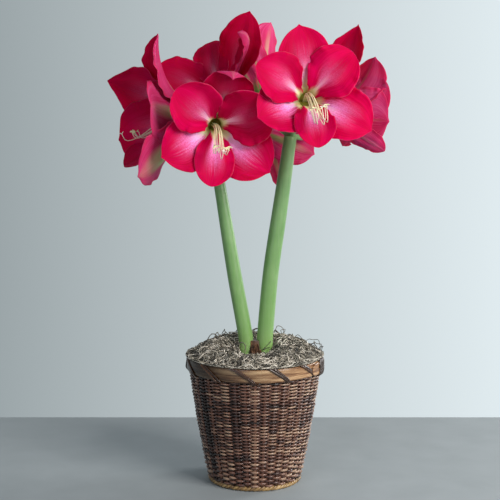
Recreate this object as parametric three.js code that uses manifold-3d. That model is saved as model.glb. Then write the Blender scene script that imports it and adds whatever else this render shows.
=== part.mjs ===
// Potted amaryllis: two leafless scapes, each with four open blooms, standing in
// a round woven basket whose mouth is dressed with curly moss.
// Millimetres, +Z up, the front towards -Y. The origin is the middle of the
// basket's underside.
import * as THREE from 'three';
import Module from 'manifold-3d';
import { mergeVertices } from 'three/addons/utils/BufferGeometryUtils.js';

const wasm = await Module();
wasm.setup();

// Basket
const BASKET_HEIGHT = 168;
const RIM_RADIUS = 90;
const HOOP_HEIGHT = 18;
const HOOP_THICKNESS = 2.8;
const FOOT_RADIUS = 61.5;
const FOOT_HEIGHT = 7;
const FOOT_WIDTH = 5;
const BASE_THICKNESS = 4;
const WALL_THICKNESS = 3.2;
const WALL_BULGE = 1.5;
const STAKES = 40;
const WEAVE_ROWS = 10;
const WEAVE_DEPTH = 0.9;
const FOOT_STATIONS = 36;
const FOOT_SWELL = 0.7;
const LASHINGS = 12;
const FIRST_LASHING_DEG = -6;
const LASHING_SIZE = [4.6, 23, 2.6];
const LASHING_TILT_DEG = 52;

// Grow pot, potting mix, bulb and moss
const POT_TOP = 154;
const POT_WALL = 2;
const POT_FOOT_RADIUS = 52;
const POT_MOUTH_RADIUS = 76;
const POT_LIP = 4;
const POT_SIDES = 24;
const BULB_FOOT_Z = 66;
const BULB_TOP_Z = 188;
const BULB_SIDES = 20;
const SOCKET_FLOOR_Z = POT_TOP;
const SOCKET_FLOOR_RADIUS = 60;
const MOSS_RADIUS = 81.6;
const MOSS_HEAP = 24;
const MOSS_DIP = 1.35;
const MOSS_DIP_Y = -20;
const MOSS_DIP_RADIUS = 40;
const MOSS_TUFT = 3.4;
const MOSS_SIDES = 32;
const MOSS_RINGS = 4;

// Pieces that touch keep this gap
const GAP = 0.3;

// Blooms, measured along each bloom's axis from its throat
const TUBE_BACK = -26;
const TUBE_FRONT = -10;
const TUBE_BACK_RADIUS = 4.4;
const TUBE_WAIST_RADIUS = 6.2;
const TUBE_FRONT_RADIUS = 8.8;
const TUBE_SIDES = 10;
const TEPAL_ROOT = -12;
const TEPAL_ROOT_RADIUS = 7.5;
const TEPAL_THICKNESS = 1.3;
const TEPAL_EDGE_THICKNESS = 0.8;
const CUP_DEG = 18;
const EDGE_WAVE = 2.2;
const MIDRIB_GROOVE = 1.6;
const LAYER_INSET = 1.5;
const CLAW_SHARE = 0.12;
const MIDRIB_STEPS = 60;
const OVARY_LENGTH = 12;
const OVARY_RADIUS = 5.2;
const PEDICEL_RADIUS = 3.5;
const PEDICEL_SIDES = 7;
const PEDICEL_STEPS = 6;
const STEM_SIDES = 10;
const STEM_STEPS = 7;
const FILAMENTS = 6;
const FILAMENT_REACH = 64;
const FILAMENT_RADII = [0.8, 0.7, 0.6, 1.5];
const STYLE_REACH = 84;
const STYLE_RADII = [0.9, 0.8, 0.8, 1.3];
const STRAND_SIDES = 3;
const STRAND_STEPS = 4;
const DISC_RADIUS = 3.9;

const vec = (x, y, z) => new THREE.Vector3(x, y, z);
const radians = THREE.MathUtils.degToRad;
const clamp = THREE.MathUtils.clamp;
const lerp = THREE.MathUtils.lerp;
const range = (count) => Array.from({ length: count }, (_, index) => index);

// A repeatable number from 0 to 1 for whole number k.
function scatter(k) {
  const wide = Math.sin(k * 12.9898 + 4.1) * 43758.5453;
  return wide - Math.floor(wide);
}

// Closed solid from a list of points and a list of triangles.
function solidFrom(points, triangles) {
  const mesh = new wasm.Mesh({
    numProp: 3,
    vertProperties: new Float32Array(points.flatMap((p) => [p.x, p.y, p.z])),
    triVerts: new Uint32Array(triangles.flat()),
  });
  return new wasm.Manifold(mesh);
}

// Closed solid from a three.js geometry.
function solidFromGeometry(geometry) {
  const bare = geometry.clone();
  bare.deleteAttribute('normal');
  bare.deleteAttribute('uv');
  const merged = mergeVertices(bare, 1e-4);
  const mesh = new wasm.Mesh({
    numProp: 3,
    vertProperties: new Float32Array(merged.attributes.position.array),
    triVerts: new Uint32Array(merged.index.array),
  });
  return new wasm.Manifold(mesh);
}

// Union of several solids, with any hollow that the union seals filled.
function fuse(solids) {
  const joined = solids.reduce((sum, next) => sum.add(next));
  const shells = joined.decompose();
  return shells.filter((shell) => shell.volume() > 1).reduce((sum, next) => sum.add(next));
}

// Geometry of a solid, for a mesh.
function geometryOf(solid) {
  const mesh = solid.getMesh();
  const geometry = new THREE.BufferGeometry();
  geometry.setAttribute('position', new THREE.BufferAttribute(mesh.vertProperties, 3));
  geometry.setIndex(new THREE.BufferAttribute(mesh.triVerts, 1));
  geometry.computeVertexNormals();
  return geometry;
}

// Round closed solid from [radius, height] pairs that start and end on the axis.
function turned(profile, sides) {
  const points = profile.map(([radius, height]) => new THREE.Vector2(radius, height));
  const geometry = new THREE.LatheGeometry(points, sides);
  geometry.rotateX(Math.PI / 2);
  return solidFromGeometry(geometry);
}

// Closed ring: section(k) gives the same number of points for every station k
// round the axis, each section running anticlockwise as seen along the ring.
function ring(stations, section) {
  const rows = range(stations).map(section);
  const size = rows[0].length;
  const triangles = [];
  for (const k of range(stations)) {
    const here = k * size;
    const there = ((k + 1) % stations) * size;
    for (const j of range(size)) {
      const next = (j + 1) % size;
      triangles.push([here + j, there + j, there + next], [here + j, there + next, here + next]);
    }
  }
  return solidFrom(rows.flat(), triangles);
}

// Round tube of changing radius through the given points, with flat ends.
function taperedTube(points, radii, sides, steps) {
  const curve = new THREE.CatmullRomCurve3(points, false, 'centripetal');
  const frames = curve.computeFrenetFrames(steps, false);
  const vertices = [];
  const triangles = [];
  for (const k of range(steps + 1)) {
    const share = k / steps;
    const centre = curve.getPointAt(share);
    const place = share * (radii.length - 1);
    const slot = Math.min(Math.floor(place), radii.length - 2);
    const radius = lerp(radii[slot], radii[slot + 1], place - slot);
    for (const j of range(sides)) {
      const angle = (j / sides) * 2 * Math.PI;
      const out = frames.normals[k].clone().multiplyScalar(Math.cos(angle));
      out.addScaledVector(frames.binormals[k], Math.sin(angle));
      vertices.push(centre.clone().addScaledVector(out, radius));
    }
  }
  for (const k of range(steps)) {
    for (const j of range(sides)) {
      const a = k * sides + j;
      const b = k * sides + ((j + 1) % sides);
      triangles.push([a, b, b + sides], [a, b + sides, a + sides]);
    }
  }
  const last = steps * sides;
  for (const j of range(sides - 2)) {
    triangles.push([0, j + 2, j + 1], [last, last + j + 1, last + j + 2]);
  }
  return solidFrom(vertices, triangles);
}

// Basket

// Middle radius of the basket's wall at height z: a cone with a slight belly.
function wallRadius(z) {
  const share = clamp((z - FOOT_HEIGHT) / (BASKET_HEIGHT - HOOP_HEIGHT - FOOT_HEIGHT), 0, 1);
  const top = RIM_RADIUS - HOOP_THICKNESS - GAP - WEAVE_DEPTH;
  return lerp(FOOT_RADIUS, top, share) + WALL_BULGE * Math.sin(Math.PI * share);
}

function polar(radius, angle, z) {
  return vec(radius * Math.cos(angle), radius * Math.sin(angle), z);
}

// The wall's outer face stands out and in by turns at each stake and row.
function basketWall() {
  const low = FOOT_HEIGHT + GAP;
  const high = BASKET_HEIGHT - 1.5;
  return ring(STAKES, (k) => {
    const angle = (k / STAKES) * 2 * Math.PI;
    const outer = range(WEAVE_ROWS + 1).map((row) => {
      const z = lerp(low, high, row / WEAVE_ROWS);
      const relief = (k + row) % 2 === 0 ? WEAVE_DEPTH : -WEAVE_DEPTH;
      return polar(wallRadius(z) + relief, angle, z);
    });
    const inner = [high, BASKET_HEIGHT - HOOP_HEIGHT, (low + high) / 2, low].map((z) => {
      return polar(wallRadius(z) - WALL_THICKNESS, angle, z);
    });
    return outer.concat(inner);
  });
}

// Bent-wood hoop, with a corner at each of the wall's stakes, and its diagonal cane
// lashings fused to its outer face.
function rimHoop() {
  const low = BASKET_HEIGHT - HOOP_HEIGHT;
  const inside = RIM_RADIUS - HOOP_THICKNESS;
  const hoop = ring(STAKES, (k) => {
    const angle = (k / STAKES) * 2 * Math.PI;
    return [
      polar(inside, angle, low),
      polar(RIM_RADIUS, angle, low),
      polar(RIM_RADIUS, angle, BASKET_HEIGHT - 1),
      polar(RIM_RADIUS - 0.9, angle, BASKET_HEIGHT),
      polar(inside, angle, BASKET_HEIGHT),
    ];
  });
  const strips = range(LASHINGS).map((k) => {
    const turn = radians(FIRST_LASHING_DEG + (k * 360) / LASHINGS);
    const strip = new THREE.BoxGeometry(...LASHING_SIZE);
    strip.rotateZ(radians(LASHING_TILT_DEG));
    strip.rotateX(Math.PI / 2);
    strip.translate(0, -(RIM_RADIUS - 0.6), BASKET_HEIGHT - HOOP_HEIGHT / 2);
    strip.rotateZ(turn);
    return solidFromGeometry(strip);
  });
  return fuse([hoop, ...strips]);
}

// Braided foot border: its outer face swells at every second station.
function footBorder() {
  return ring(FOOT_STATIONS, (k) => {
    const angle = (k / FOOT_STATIONS) * 2 * Math.PI;
    const swell = k % 2 === 0 ? FOOT_SWELL : 0;
    return [
      polar(FOOT_RADIUS - FOOT_WIDTH, angle, 0),
      polar(FOOT_RADIUS - 0.8, angle, 0),
      polar(FOOT_RADIUS + swell, angle, 2.2),
      polar(FOOT_RADIUS + swell, angle, 4.6),
      polar(FOOT_RADIUS - 0.6, angle, FOOT_HEIGHT),
      polar(FOOT_RADIUS - FOOT_WIDTH, angle, FOOT_HEIGHT),
    ];
  });
}

function basketBase() {
  const radius = FOOT_RADIUS - FOOT_WIDTH - GAP;
  return turned([[0, 0], [radius, 0], [radius, BASE_THICKNESS], [0, BASE_THICKNESS]], FOOT_STATIONS);
}

// Grow pot, potting mix, bulb and moss

const POT_FOOT_Z = BASE_THICKNESS + GAP;

// Outer radius of the grow pot at height z.
function potRadius(z) {
  return lerp(POT_FOOT_RADIUS, POT_MOUTH_RADIUS, (z - POT_FOOT_Z) / (POT_TOP - POT_FOOT_Z));
}

function growPot() {
  const lipZ = POT_TOP - 3;
  const floorZ = POT_FOOT_Z + POT_WALL;
  return turned([
    [0, POT_FOOT_Z],
    [POT_FOOT_RADIUS, POT_FOOT_Z],
    [potRadius(lipZ), lipZ],
    [POT_MOUTH_RADIUS + POT_LIP, lipZ],
    [POT_MOUTH_RADIUS + POT_LIP, POT_TOP],
    [POT_MOUTH_RADIUS - POT_WALL, POT_TOP],
    [potRadius(floorZ) - POT_WALL, floorZ],
    [0, floorZ],
  ], POT_SIDES);
}

// Half outline of the bulb from its root plate to the top of its papery neck,
// grown outwards by margin.
function bulbOutline(margin) {
  return [
    [0, BULB_FOOT_Z - margin],
    [13 + margin, BULB_FOOT_Z - margin],
    [31 + margin, 80],
    [40 + margin, 100],
    [39 + margin, 120],
    [30 + margin, 138],
    [19 + margin, 151],
    [13 + margin, 162],
    [11 + margin, 174],
    [9 + margin, BULB_TOP_Z + margin],
    [0, BULB_TOP_Z + margin],
  ];
}

// Potting mix fills the pot round the bulb, up to the pot's edge.
function pottingMix() {
  const floorZ = POT_FOOT_Z + POT_WALL + GAP;
  const topZ = POT_TOP - GAP;
  const hollow = bulbOutline(2 * GAP).filter(([, z]) => z < topZ).reverse();
  const mouth = hollow[0][0] - 1.5;
  return turned([
    [0, floorZ],
    [potRadius(floorZ) - POT_WALL - GAP, floorZ],
    [potRadius(topZ) - POT_WALL - GAP, topZ],
    [mouth, topZ],
    ...hollow,
  ], POT_SIDES);
}

function bulb(sockets) {
  return fuse([turned(bulbOutline(0), BULB_SIDES).subtract(sockets)]);
}

// Height of the moss at a radius and angle: a low heap, lumpy on top, with a dip
// in front of the stalks.
function mossHeight(radius, angle) {
  const share = radius / MOSS_RADIUS;
  const near = Math.hypot(radius * Math.cos(angle), radius * Math.sin(angle) - MOSS_DIP_Y) / MOSS_DIP_RADIUS;
  const heap = MOSS_HEAP * (1 - share ** 2.4) * (1 - MOSS_DIP * Math.exp(-(near ** 2)));
  const lumps = 1.6 * Math.sin(3 * angle + 9 * share) + 1.3 * Math.sin(7 * angle - 13 * share);
  return BASKET_HEIGHT - 0.5 + heap + lumps * (1 - 0.5 * share);
}

// Moss rests on the pot's edge and the mix, with plain holes for what grows
// through it.
function moss(holes) {
  const floorZ = POT_TOP + GAP;
  const points = [vec(0, 0, floorZ)];
  const triangles = [];
  const foot = range(MOSS_SIDES).map((k) => {
    return polar(MOSS_RADIUS, (k / MOSS_SIDES) * 2 * Math.PI, floorZ);
  });
  points.push(...foot);
  for (const row of range(MOSS_RINGS)) {
    const radius = MOSS_RADIUS * (1 - row / MOSS_RINGS);
    for (const k of range(MOSS_SIDES)) {
      const angle = (k / MOSS_SIDES) * 2 * Math.PI;
      const tuft = (scatter(row * MOSS_SIDES + k) - 0.5) * MOSS_TUFT;
      points.push(polar(radius, angle, mossHeight(radius, angle) + tuft));
    }
  }
  points.push(vec(0, 0, mossHeight(0, 0)));
  const top = points.length - 1;
  const lastRow = 1 + MOSS_RINGS * MOSS_SIDES;
  for (const k of range(MOSS_SIDES)) {
    const next = (k + 1) % MOSS_SIDES;
    triangles.push([0, 1 + next, 1 + k], [top, lastRow + k, lastRow + next]);
    for (const row of range(MOSS_RINGS)) {
      const a = 1 + row * MOSS_SIDES + k;
      const b = 1 + row * MOSS_SIDES + next;
      triangles.push([a, b, b + MOSS_SIDES], [a, b + MOSS_SIDES, a + MOSS_SIDES]);
    }
  }
  return fuse([solidFrom(points, triangles).subtract(holes)]);
}

// Scapes: each is a stout stem that ends in an umbel of four pedicels.

const SCAPES = {
  left: {
    path: [
      vec(-11, 0, SOCKET_FLOOR_Z + 2 * GAP), vec(-11, 0, 176), vec(-13.5, 0, 200),
      vec(-27, 0, 277), vec(-45, 0, 388), vec(-54, 0, 436),
    ],
    radii: [9.6, 9.5, 9.2, 8.5, 7.6, 6.8],
  },
  right: {
    path: [
      vec(13, 0, SOCKET_FLOOR_Z + 2 * GAP), vec(13, 0, 176), vec(14, 0, 200),
      vec(21, 0, 277), vec(32, 0, 355), vec(46, 0, 456),
    ],
    radii: [10.3, 10.3, 10.1, 9.9, 9.1, 8],
  },
};

function stem({ path, radii }, grow) {
  const [foot, ...rest] = path;
  const deeper = foot.clone().setZ(foot.z - grow);
  return taperedTube([deeper, ...rest], radii.map((radius) => radius + grow), STEM_SIDES, STEM_STEPS);
}

// Pedicel and ovary of one bloom, from the umbel to the back of the bloom's tube.
function pedicel(umbel, bloom) {
  const { axis } = bloom.frame;
  const front = bloom.throat.clone().addScaledVector(axis, TUBE_BACK - GAP);
  const back = front.clone().addScaledVector(axis, -OVARY_LENGTH);
  const middle = back.clone().lerp(umbel, 0.5).addScaledVector(axis, -0.12 * back.distanceTo(umbel));
  const waist = front.clone().addScaledVector(axis, -OVARY_LENGTH / 2);
  const radii = [PEDICEL_RADIUS, PEDICEL_RADIUS, PEDICEL_RADIUS, OVARY_RADIUS, TUBE_BACK_RADIUS];
  return taperedTube([umbel, middle, back, waist, front], radii, PEDICEL_SIDES, PEDICEL_STEPS);
}

// Blooms

// Directions of a bloom: its axis, and across it e1 (sideways) and e2 (upwards).
function bloomFrame(azimuthDeg, elevationDeg) {
  const azimuth = radians(azimuthDeg);
  const elevation = radians(elevationDeg);
  const axis = vec(
    Math.cos(azimuth) * Math.cos(elevation),
    Math.sin(azimuth) * Math.cos(elevation),
    Math.sin(elevation),
  );
  const e2 = vec(0, 0, 1).addScaledVector(axis, -axis.z).normalize();
  const e1 = e2.clone().cross(axis);
  return { axis, e1, e2 };
}

function across({ e1, e2 }, angle) {
  return e1.clone().multiplyScalar(Math.cos(angle)).addScaledVector(e2, Math.sin(angle));
}

// Half-width of a tepal as a share of its greatest, at share s of its length:
// a rise from a narrow claw to the broadest place, then a fall to the tip.
function tepalOutline(s, broadest, roundness, pointing) {
  const climb = Math.min(s / broadest, 1) ** 1.1;
  const rise = lerp(CLAW_SHARE, 1, (1 - Math.cos(Math.PI * climb)) / 2);
  const past = Math.max((s - broadest) / (1 - broadest), 0);
  return rise * (1 - past ** roundness) ** pointing;
}

// Heading of a tepal's midrib at share s of its length, in radians from the
// bloom's axis: an even bend through three headings, and a hook near the tip.
function midribHeading({ headings, hook = 0, hookFrom = 0.86 }, s) {
  const [near, mid, far] = headings.map(radians);
  const bend = near * (1 - s) ** 2 + 2 * mid * s * (1 - s) + far * s * s;
  return bend + radians(hook) * clamp((s - hookFrom) / (1 - hookFrom), 0, 1) ** 1.3;
}

// Points along a tepal's midrib, from its claw in the throat to its tip.
function midribPoints(bloom, tepal, outward) {
  const { axis } = bloom.frame;
  const step = tepal.length / MIDRIB_STEPS;
  const claw = bloom.throat.clone().addScaledVector(axis, TEPAL_ROOT);
  const points = [claw.addScaledVector(outward, TEPAL_ROOT_RADIUS)];
  for (const k of range(MIDRIB_STEPS)) {
    const turn = midribHeading(tepal, (k + 0.5) / MIDRIB_STEPS);
    const next = points[k].clone().addScaledVector(axis, Math.cos(turn) * step);
    points.push(next.addScaledVector(outward, Math.sin(turn) * step));
  }
  return points;
}

// Points of a tepal's middle surface: a row of points across it at each share of
// its length. Across the midrib the blade is an arc, a funnel at the claw and then
// the tepal's own cupping, with a groove at the midrib and waves at the edges.
function tepalRows(bloom, tepal, shares) {
  const {
    roll, width, cup = CUP_DEG, twist = 0, wave = EDGE_WAVE, inset = -LAYER_INSET,
    broadest = 0.58, roundness = 2.6, pointing = 0.66,
  } = tepal;
  const { axis } = bloom.frame;
  const outward = across(bloom.frame, radians(roll));
  const sideways = axis.clone().cross(outward);
  const midrib = midribPoints(bloom, tepal, outward);
  return shares.map((s, row) => {
    const slot = Math.min(Math.floor(s * MIDRIB_STEPS), MIDRIB_STEPS - 1);
    const centre = midrib[slot].clone().lerp(midrib[slot + 1], s * MIDRIB_STEPS - slot);
    const turn = midribHeading(tepal, s);
    const inner = axis.clone().multiplyScalar(Math.sin(turn)).addScaledVector(outward, -Math.cos(turn));
    const lean = radians(twist) * s ** 1.5;
    const aside = sideways.clone().multiplyScalar(Math.cos(lean)).addScaledVector(inner, Math.sin(lean));
    const normal = inner.clone().multiplyScalar(Math.cos(lean)).addScaledVector(sideways, -Math.sin(lean));
    const half = (width / 2) * tepalOutline(s, broadest, roundness, pointing);
    const spoke = centre.clone().sub(bloom.throat);
    spoke.addScaledVector(axis, -spoke.dot(axis));
    const funnel = clamp((half * Math.cos(turn)) / Math.max(spoke.length(), 3), -1.2, 1.25);
    const arc = lerp(funnel, radians(cup), THREE.MathUtils.smoothstep(s, 0.12, 0.62));
    const groove = MIDRIB_GROOVE * clamp(4 * s, 0, 1) * (1 - s ** 3);
    const edge = wave * Math.max(Math.sin(Math.PI * Math.min(s * 1.02, 1)), 0) ** 0.8;
    const places = range(BLADE_SIDES + 1).map((j) => (2 * j) / BLADE_SIDES - 1);
    return (row === shares.length - 1 ? [0] : places).map((t) => {
      const ripple = Math.sin(2 * Math.PI * (2.3 * s + 0.2 + (t > 0 ? 0.37 : 0)));
      const lift = (half * (1 - Math.cos(arc * t))) / arc + edge * Math.abs(t) ** 2.5 * ripple;
      const sunk = groove * Math.exp(-((t / 0.16) ** 2)) - inset * clamp(6 * s, 0, 1);
      const point = centre.clone().addScaledVector(aside, (half * Math.sin(arc * t)) / arc);
      return point.addScaledVector(normal, lift - sunk);
    });
  });
}

// Where along a tepal its rows of points lie: closer near a tip that hooks, wider
// apart on a trumpet, whose tepals bend less.
const PLAIN_SHARES = [0, 0.17, 0.38, 0.6, 0.82, 1];
const HOOKED_SHARES = [0, 0.17, 0.38, 0.6, 0.78, 0.88, 1];
const TRUMPET_SHARES = [0, 0.22, 0.48, 0.76, 1];
const BLADE_SIDES = 4;

// Closed blade round a tepal's middle surface, both faces split alike.
function tepalBlade(bloom, tepal) {
  const plain = bloom.trumpet ? TRUMPET_SHARES : PLAIN_SHARES;
  const shares = tepal.hook ? HOOKED_SHARES : plain;
  const sides = BLADE_SIDES;
  const rows = tepalRows(bloom, tepal, shares);
  const last = rows.length - 1;
  const points = [];
  const index = rows.map((row, i) => row.map((point, j) => {
    const atTip = i === last;
    const up = rows[Math.min(i + 1, last)];
    const down = rows[Math.max(i - 1, 0)];
    const column = atTip ? sides / 2 : j;
    const along = up[Math.min(column, up.length - 1)].clone().sub(down[column]);
    const wide = atTip ? down : row;
    const right = Math.min(column + 1, sides);
    const left = Math.max(column - 1, 0);
    const normal = along.cross(wide[right].clone().sub(wide[left])).normalize();
    const rim = atTip ? 1 : Math.abs((2 * j) / sides - 1);
    const half = lerp(TEPAL_THICKNESS, TEPAL_EDGE_THICKNESS, rim) / 2;
    points.push(point.clone().addScaledVector(normal, half));
    points.push(point.clone().addScaledVector(normal, -half));
    return points.length - 2;
  }));
  const triangles = [];
  const face = (a, b, c) => {
    triangles.push([a, b, c], [a + 1, c + 1, b + 1]);
  };
  const wall = (a, b) => {
    triangles.push([a, a + 1, b + 1], [a, b + 1, b]);
  };
  for (const i of range(last - 1)) {
    for (const j of range(sides)) {
      face(index[i][j], index[i + 1][j], index[i + 1][j + 1]);
      face(index[i][j], index[i + 1][j + 1], index[i][j + 1]);
    }
    wall(index[i][0], index[i + 1][0]);
    wall(index[i + 1][sides], index[i][sides]);
  }
  const neck = index[last - 1];
  const tip = index[last][0];
  for (const j of range(sides)) {
    face(neck[j], tip, neck[j + 1]);
    wall(index[0][j + 1], index[0][j]);
  }
  wall(neck[0], tip);
  wall(tip, neck[sides]);
  const blade = solidFrom(points, triangles);
  return blade.volume() > 0 ? blade : solidFrom(points, triangles.map(([a, b, c]) => [a, c, b]));
}

// Place in a bloom: distance along its axis and outwards at an angle.
function bloomPoint(bloom, along, out, angle) {
  const point = bloom.throat.clone().addScaledVector(bloom.frame.axis, along);
  return point.addScaledVector(across(bloom.frame, angle), out);
}

function bloomSolid(bloom) {
  const ends = [TUBE_BACK, (TUBE_BACK + TUBE_FRONT) / 2, TUBE_FRONT];
  const path = ends.map((along) => bloomPoint(bloom, along, 0, 0));
  const radii = [TUBE_BACK_RADIUS, TUBE_WAIST_RADIUS, TUBE_FRONT_RADIUS];
  const tube = taperedTube(path, radii, TUBE_SIDES, 2);
  return fuse([tube, ...bloom.tepals.map((tepal) => tepalBlade(bloom, tepal))]);
}

// Six filaments, thick at their anthers, and the longer style, on a small disc in
// the throat. They lean to the sag angle, dip, and turn up again at their ends.
function stamens(bloom) {
  const { sag = 270, reach = 1, dip = 1 } = bloom;
  const down = radians(sag);
  const beside = across(bloom.frame, down + Math.PI / 2);
  const foot = TUBE_FRONT + GAP;
  const place = (along, fall, aside) => {
    return bloomPoint(bloom, along, fall, down).addScaledVector(beside, aside);
  };
  const strand = (k, far, low, end) => {
    const fan = (k - FILAMENTS / 2) * 2.6;
    const stagger = k % 2 === 0 ? 1.1 : -1.1;
    return [
      place(foot + 0.7, stagger, 0.4 * fan),
      place(0.3 * far * reach, stagger + 1, 0.5 * fan),
      place(0.72 * far * reach, 0.8 * low * dip, 0.8 * fan),
      place(0.93 * far * reach, low * dip, fan),
      place(far * reach, end * dip, 1.2 * fan),
    ];
  };
  const filaments = range(FILAMENTS).map((k) => {
    const slot = k < FILAMENTS / 2 ? k : k + 1;
    const far = FILAMENT_REACH + 9 * scatter(k + bloom.seed);
    const path = strand(slot, far, 19 + 3 * scatter(k + 40), 12 + 3 * scatter(k + 80));
    return taperedTube(path, FILAMENT_RADII, STRAND_SIDES, STRAND_STEPS);
  });
  const stylePath = strand(FILAMENTS / 2, STYLE_REACH, 24, 15);
  const style = taperedTube(stylePath, STYLE_RADII, STRAND_SIDES, STRAND_STEPS);
  const discPath = [0, 0.6, 1.2].map((rise) => bloomPoint(bloom, foot + rise, 0, 0));
  const disc = taperedTube(discPath, [DISC_RADIUS, DISC_RADIUS], PEDICEL_SIDES, 1);
  return fuse([disc, ...filaments, style]);
}

function petal(roll, length, width, headings, more = {}) {
  return { roll, length, width, headings, ...more };
}
const INNER = { inset: LAYER_INSET };
const BROAD_INNER = { ...INNER, roundness: 3, pointing: 0.6, cup: 30 };
const FULL_OUTER = { broadest: 0.49 };

// Each bloom: where its throat is, which way it faces, and its six tepals.
const BLOOMS = [
  {
    name: 'front_left', scape: 'left', throat: vec(-49, -62, 471), faces: [-80, -8],
    sag: 262, dip: 1.15, tepals: [
      petal(80, 100, 74, [20, 63, 85], {
        hook: -150, hookFrom: 0.74, cup: 26, broadest: 0.48, roundness: 2.1, pointing: 0.7,
      }),
      petal(205, 89, 72, [20, 56, 91], FULL_OUTER),
      petal(320, 94, 76, [20, 55, 91], FULL_OUTER),
      petal(137, 86, 66, [18, 55, 94], BROAD_INNER),
      petal(262, 84, 52, [18, 51, 88], INNER),
      petal(27, 86, 74, [18, 47, 80], BROAD_INNER),
    ],
  },
  {
    name: 'front_right', scape: 'right', throat: vec(64, -66, 505), faces: [-84, 14],
    sag: 279, dip: 2.1, reach: 0.94, tepals: [
      petal(99, 95, 66, [20, 55, 90], { roundness: 2.3, pointing: 0.7 }),
      petal(326, 98, 74, [20, 61, 99], FULL_OUTER),
      petal(206, 83, 74, [20, 55, 90], FULL_OUTER),
      petal(154, 88, 64, [18, 52, 90], { ...INNER, roundness: 2.2, pointing: 0.75 }),
      petal(276, 82, 52, [18, 54, 92], INNER),
      petal(42, 85, 66, [17, 50, 94], INNER),
    ],
  },
  {
    name: 'far_left', scape: 'left', throat: vec(-88, -24, 480), faces: [-162, -3], tepals: [
      petal(80, 116, 68, [30, 64, 99], { cup: 52, broadest: 0.5 }),
      petal(200, 109, 84, [20, 34, 57]),
      petal(306, 115, 90, [37, 46, 36], { cup: 20, twist: 22 }),
      petal(140, 123, 92, [40, 47, 26], { ...INNER, roundness: 1.5, pointing: 0.95 }),
      petal(255, 106, 80, [30, 26, 35], INNER),
      petal(16, 98, 84, [26, 38, 62], { ...INNER, cup: 24 }),
    ],
  },
  {
    name: 'top_left', scape: 'left', throat: vec(-43, 10, 505), faces: [-128, 52], reach: 0.36, dip: 0.4, tepals: [
      petal(62, 119, 64, [34, 40, 44], { broadest: 0.52, roundness: 2.1, pointing: 0.65, twist: 60 }),
      petal(186, 103, 66, [20, 48, 71]),
      petal(310, 82, 50, [10, 40, 70]),
      petal(123, 97, 50, [12, 62, 91], INNER),
      petal(250, 60, 44, [10, 40, 60], INNER),
      petal(32, 120, 46, [26, 50, 44], { ...INNER, cup: 36, hook: -130, hookFrom: 0.72 }),
    ],
  },
  {
    name: 'rear_left', scape: 'left', throat: vec(10, 28, 461), faces: [50, -16], trumpet: true, tepals: [
      petal(90, 86, 54, [10, 40, 68]),
      petal(197, 80, 54, [10, 37, 63]),
      petal(330, 86, 54, [10, 40, 68]),
      petal(150, 82, 44, [10, 38, 64], INNER),
      petal(261, 87, 38, [10, 48, 78], INNER),
      petal(30, 82, 44, [10, 38, 64], INNER),
    ],
  },
  {
    name: 'far_right', scape: 'right', throat: vec(106, 0, 486), faces: [38, -3], reach: 0.8, tepals: [
      petal(189, 72, 84, [18, 36, 66], { cup: 24 }),
      petal(103, 96, 70, [12, 50, 84]),
      petal(300, 64, 40, [10, 40, 70]),
      petal(136, 80, 66, [14, 44, 72], INNER),
      petal(228, 82, 34, [46, 45, 38], INNER),
      petal(0, 82, 44, [10, 44, 76], INNER),
    ],
  },
  {
    name: 'top_right', scape: 'right', throat: vec(100, 34, 506), faces: [20, 80],
    trumpet: true, reach: 0.55, dip: 0.4, tepals: [
      petal(291, 115, 72, [8, 8, 14], { cup: 30, broadest: 0.5, roundness: 1.9, pointing: 0.8 }),
      petal(51, 86, 50, [8, 34, 56]),
      petal(171, 76, 46, [8, 30, 46]),
      petal(351, 86, 44, [8, 34, 60], INNER),
      petal(111, 80, 42, [8, 30, 50], INNER),
      petal(231, 66, 34, [6, 10, 16], INNER),
    ],
  },
  {
    name: 'rear_right', scape: 'right', throat: vec(6, 46, 519), faces: [104, 48],
    trumpet: true, reach: 0.6, dip: 0.4, tepals: [
      petal(132, 108, 58, [6, 15, 29]),
      petal(254, 84, 44, [6, 26, 44]),
      petal(14, 84, 44, [6, 26, 44]),
      petal(194, 84, 38, [6, 24, 40], INNER),
      petal(314, 82, 34, [6, 24, 40], INNER),
      petal(74, 82, 38, [6, 24, 40], INNER),
    ],
  },
];
BLOOMS.forEach((bloom, k) => {
  bloom.frame = bloomFrame(...bloom.faces);
  bloom.seed = 100 * k;
});

// The part

function finish(color, roughness) {
  return () => new THREE.MeshStandardMaterial({ color, roughness, metalness: 0 });
}
const WICKER = finish('#5a3f30', 0.5);
const BENT_WOOD = finish('#8a6240', 0.4);
const CANE = finish('#a58a5a', 0.5);
const PLASTIC = finish('#3a332e', 0.6);
const MIX = finish('#33271f', 0.95);
const BULB_SKIN = finish('#7a5232', 0.7);
const MOSS = finish('#86836f', 0.95);
const STALK = finish('#79a866', 0.45);
const TEPAL = finish('#d80f50', 0.5);
const STAMEN = finish('#efc3b4', 0.6);

const part = new THREE.Group();
function place(name, solid, material) {
  const mesh = new THREE.Mesh(geometryOf(solid), material());
  mesh.name = name;
  part.add(mesh);
}

const stems = Object.values(SCAPES);
const sockets = stem(stems[0], GAP).add(stem(stems[1], GAP));
const socketFloor = turned(
  [[0, 0], [SOCKET_FLOOR_RADIUS, 0], [SOCKET_FLOOR_RADIUS, SOCKET_FLOOR_Z], [0, SOCKET_FLOOR_Z]],
  STEM_SIDES,
);
const bulbHollow = turned(bulbOutline(2 * GAP), BULB_SIDES);
const growing = stem(stems[0], 2 * GAP).add(stem(stems[1], 2 * GAP)).add(bulbHollow);

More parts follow.
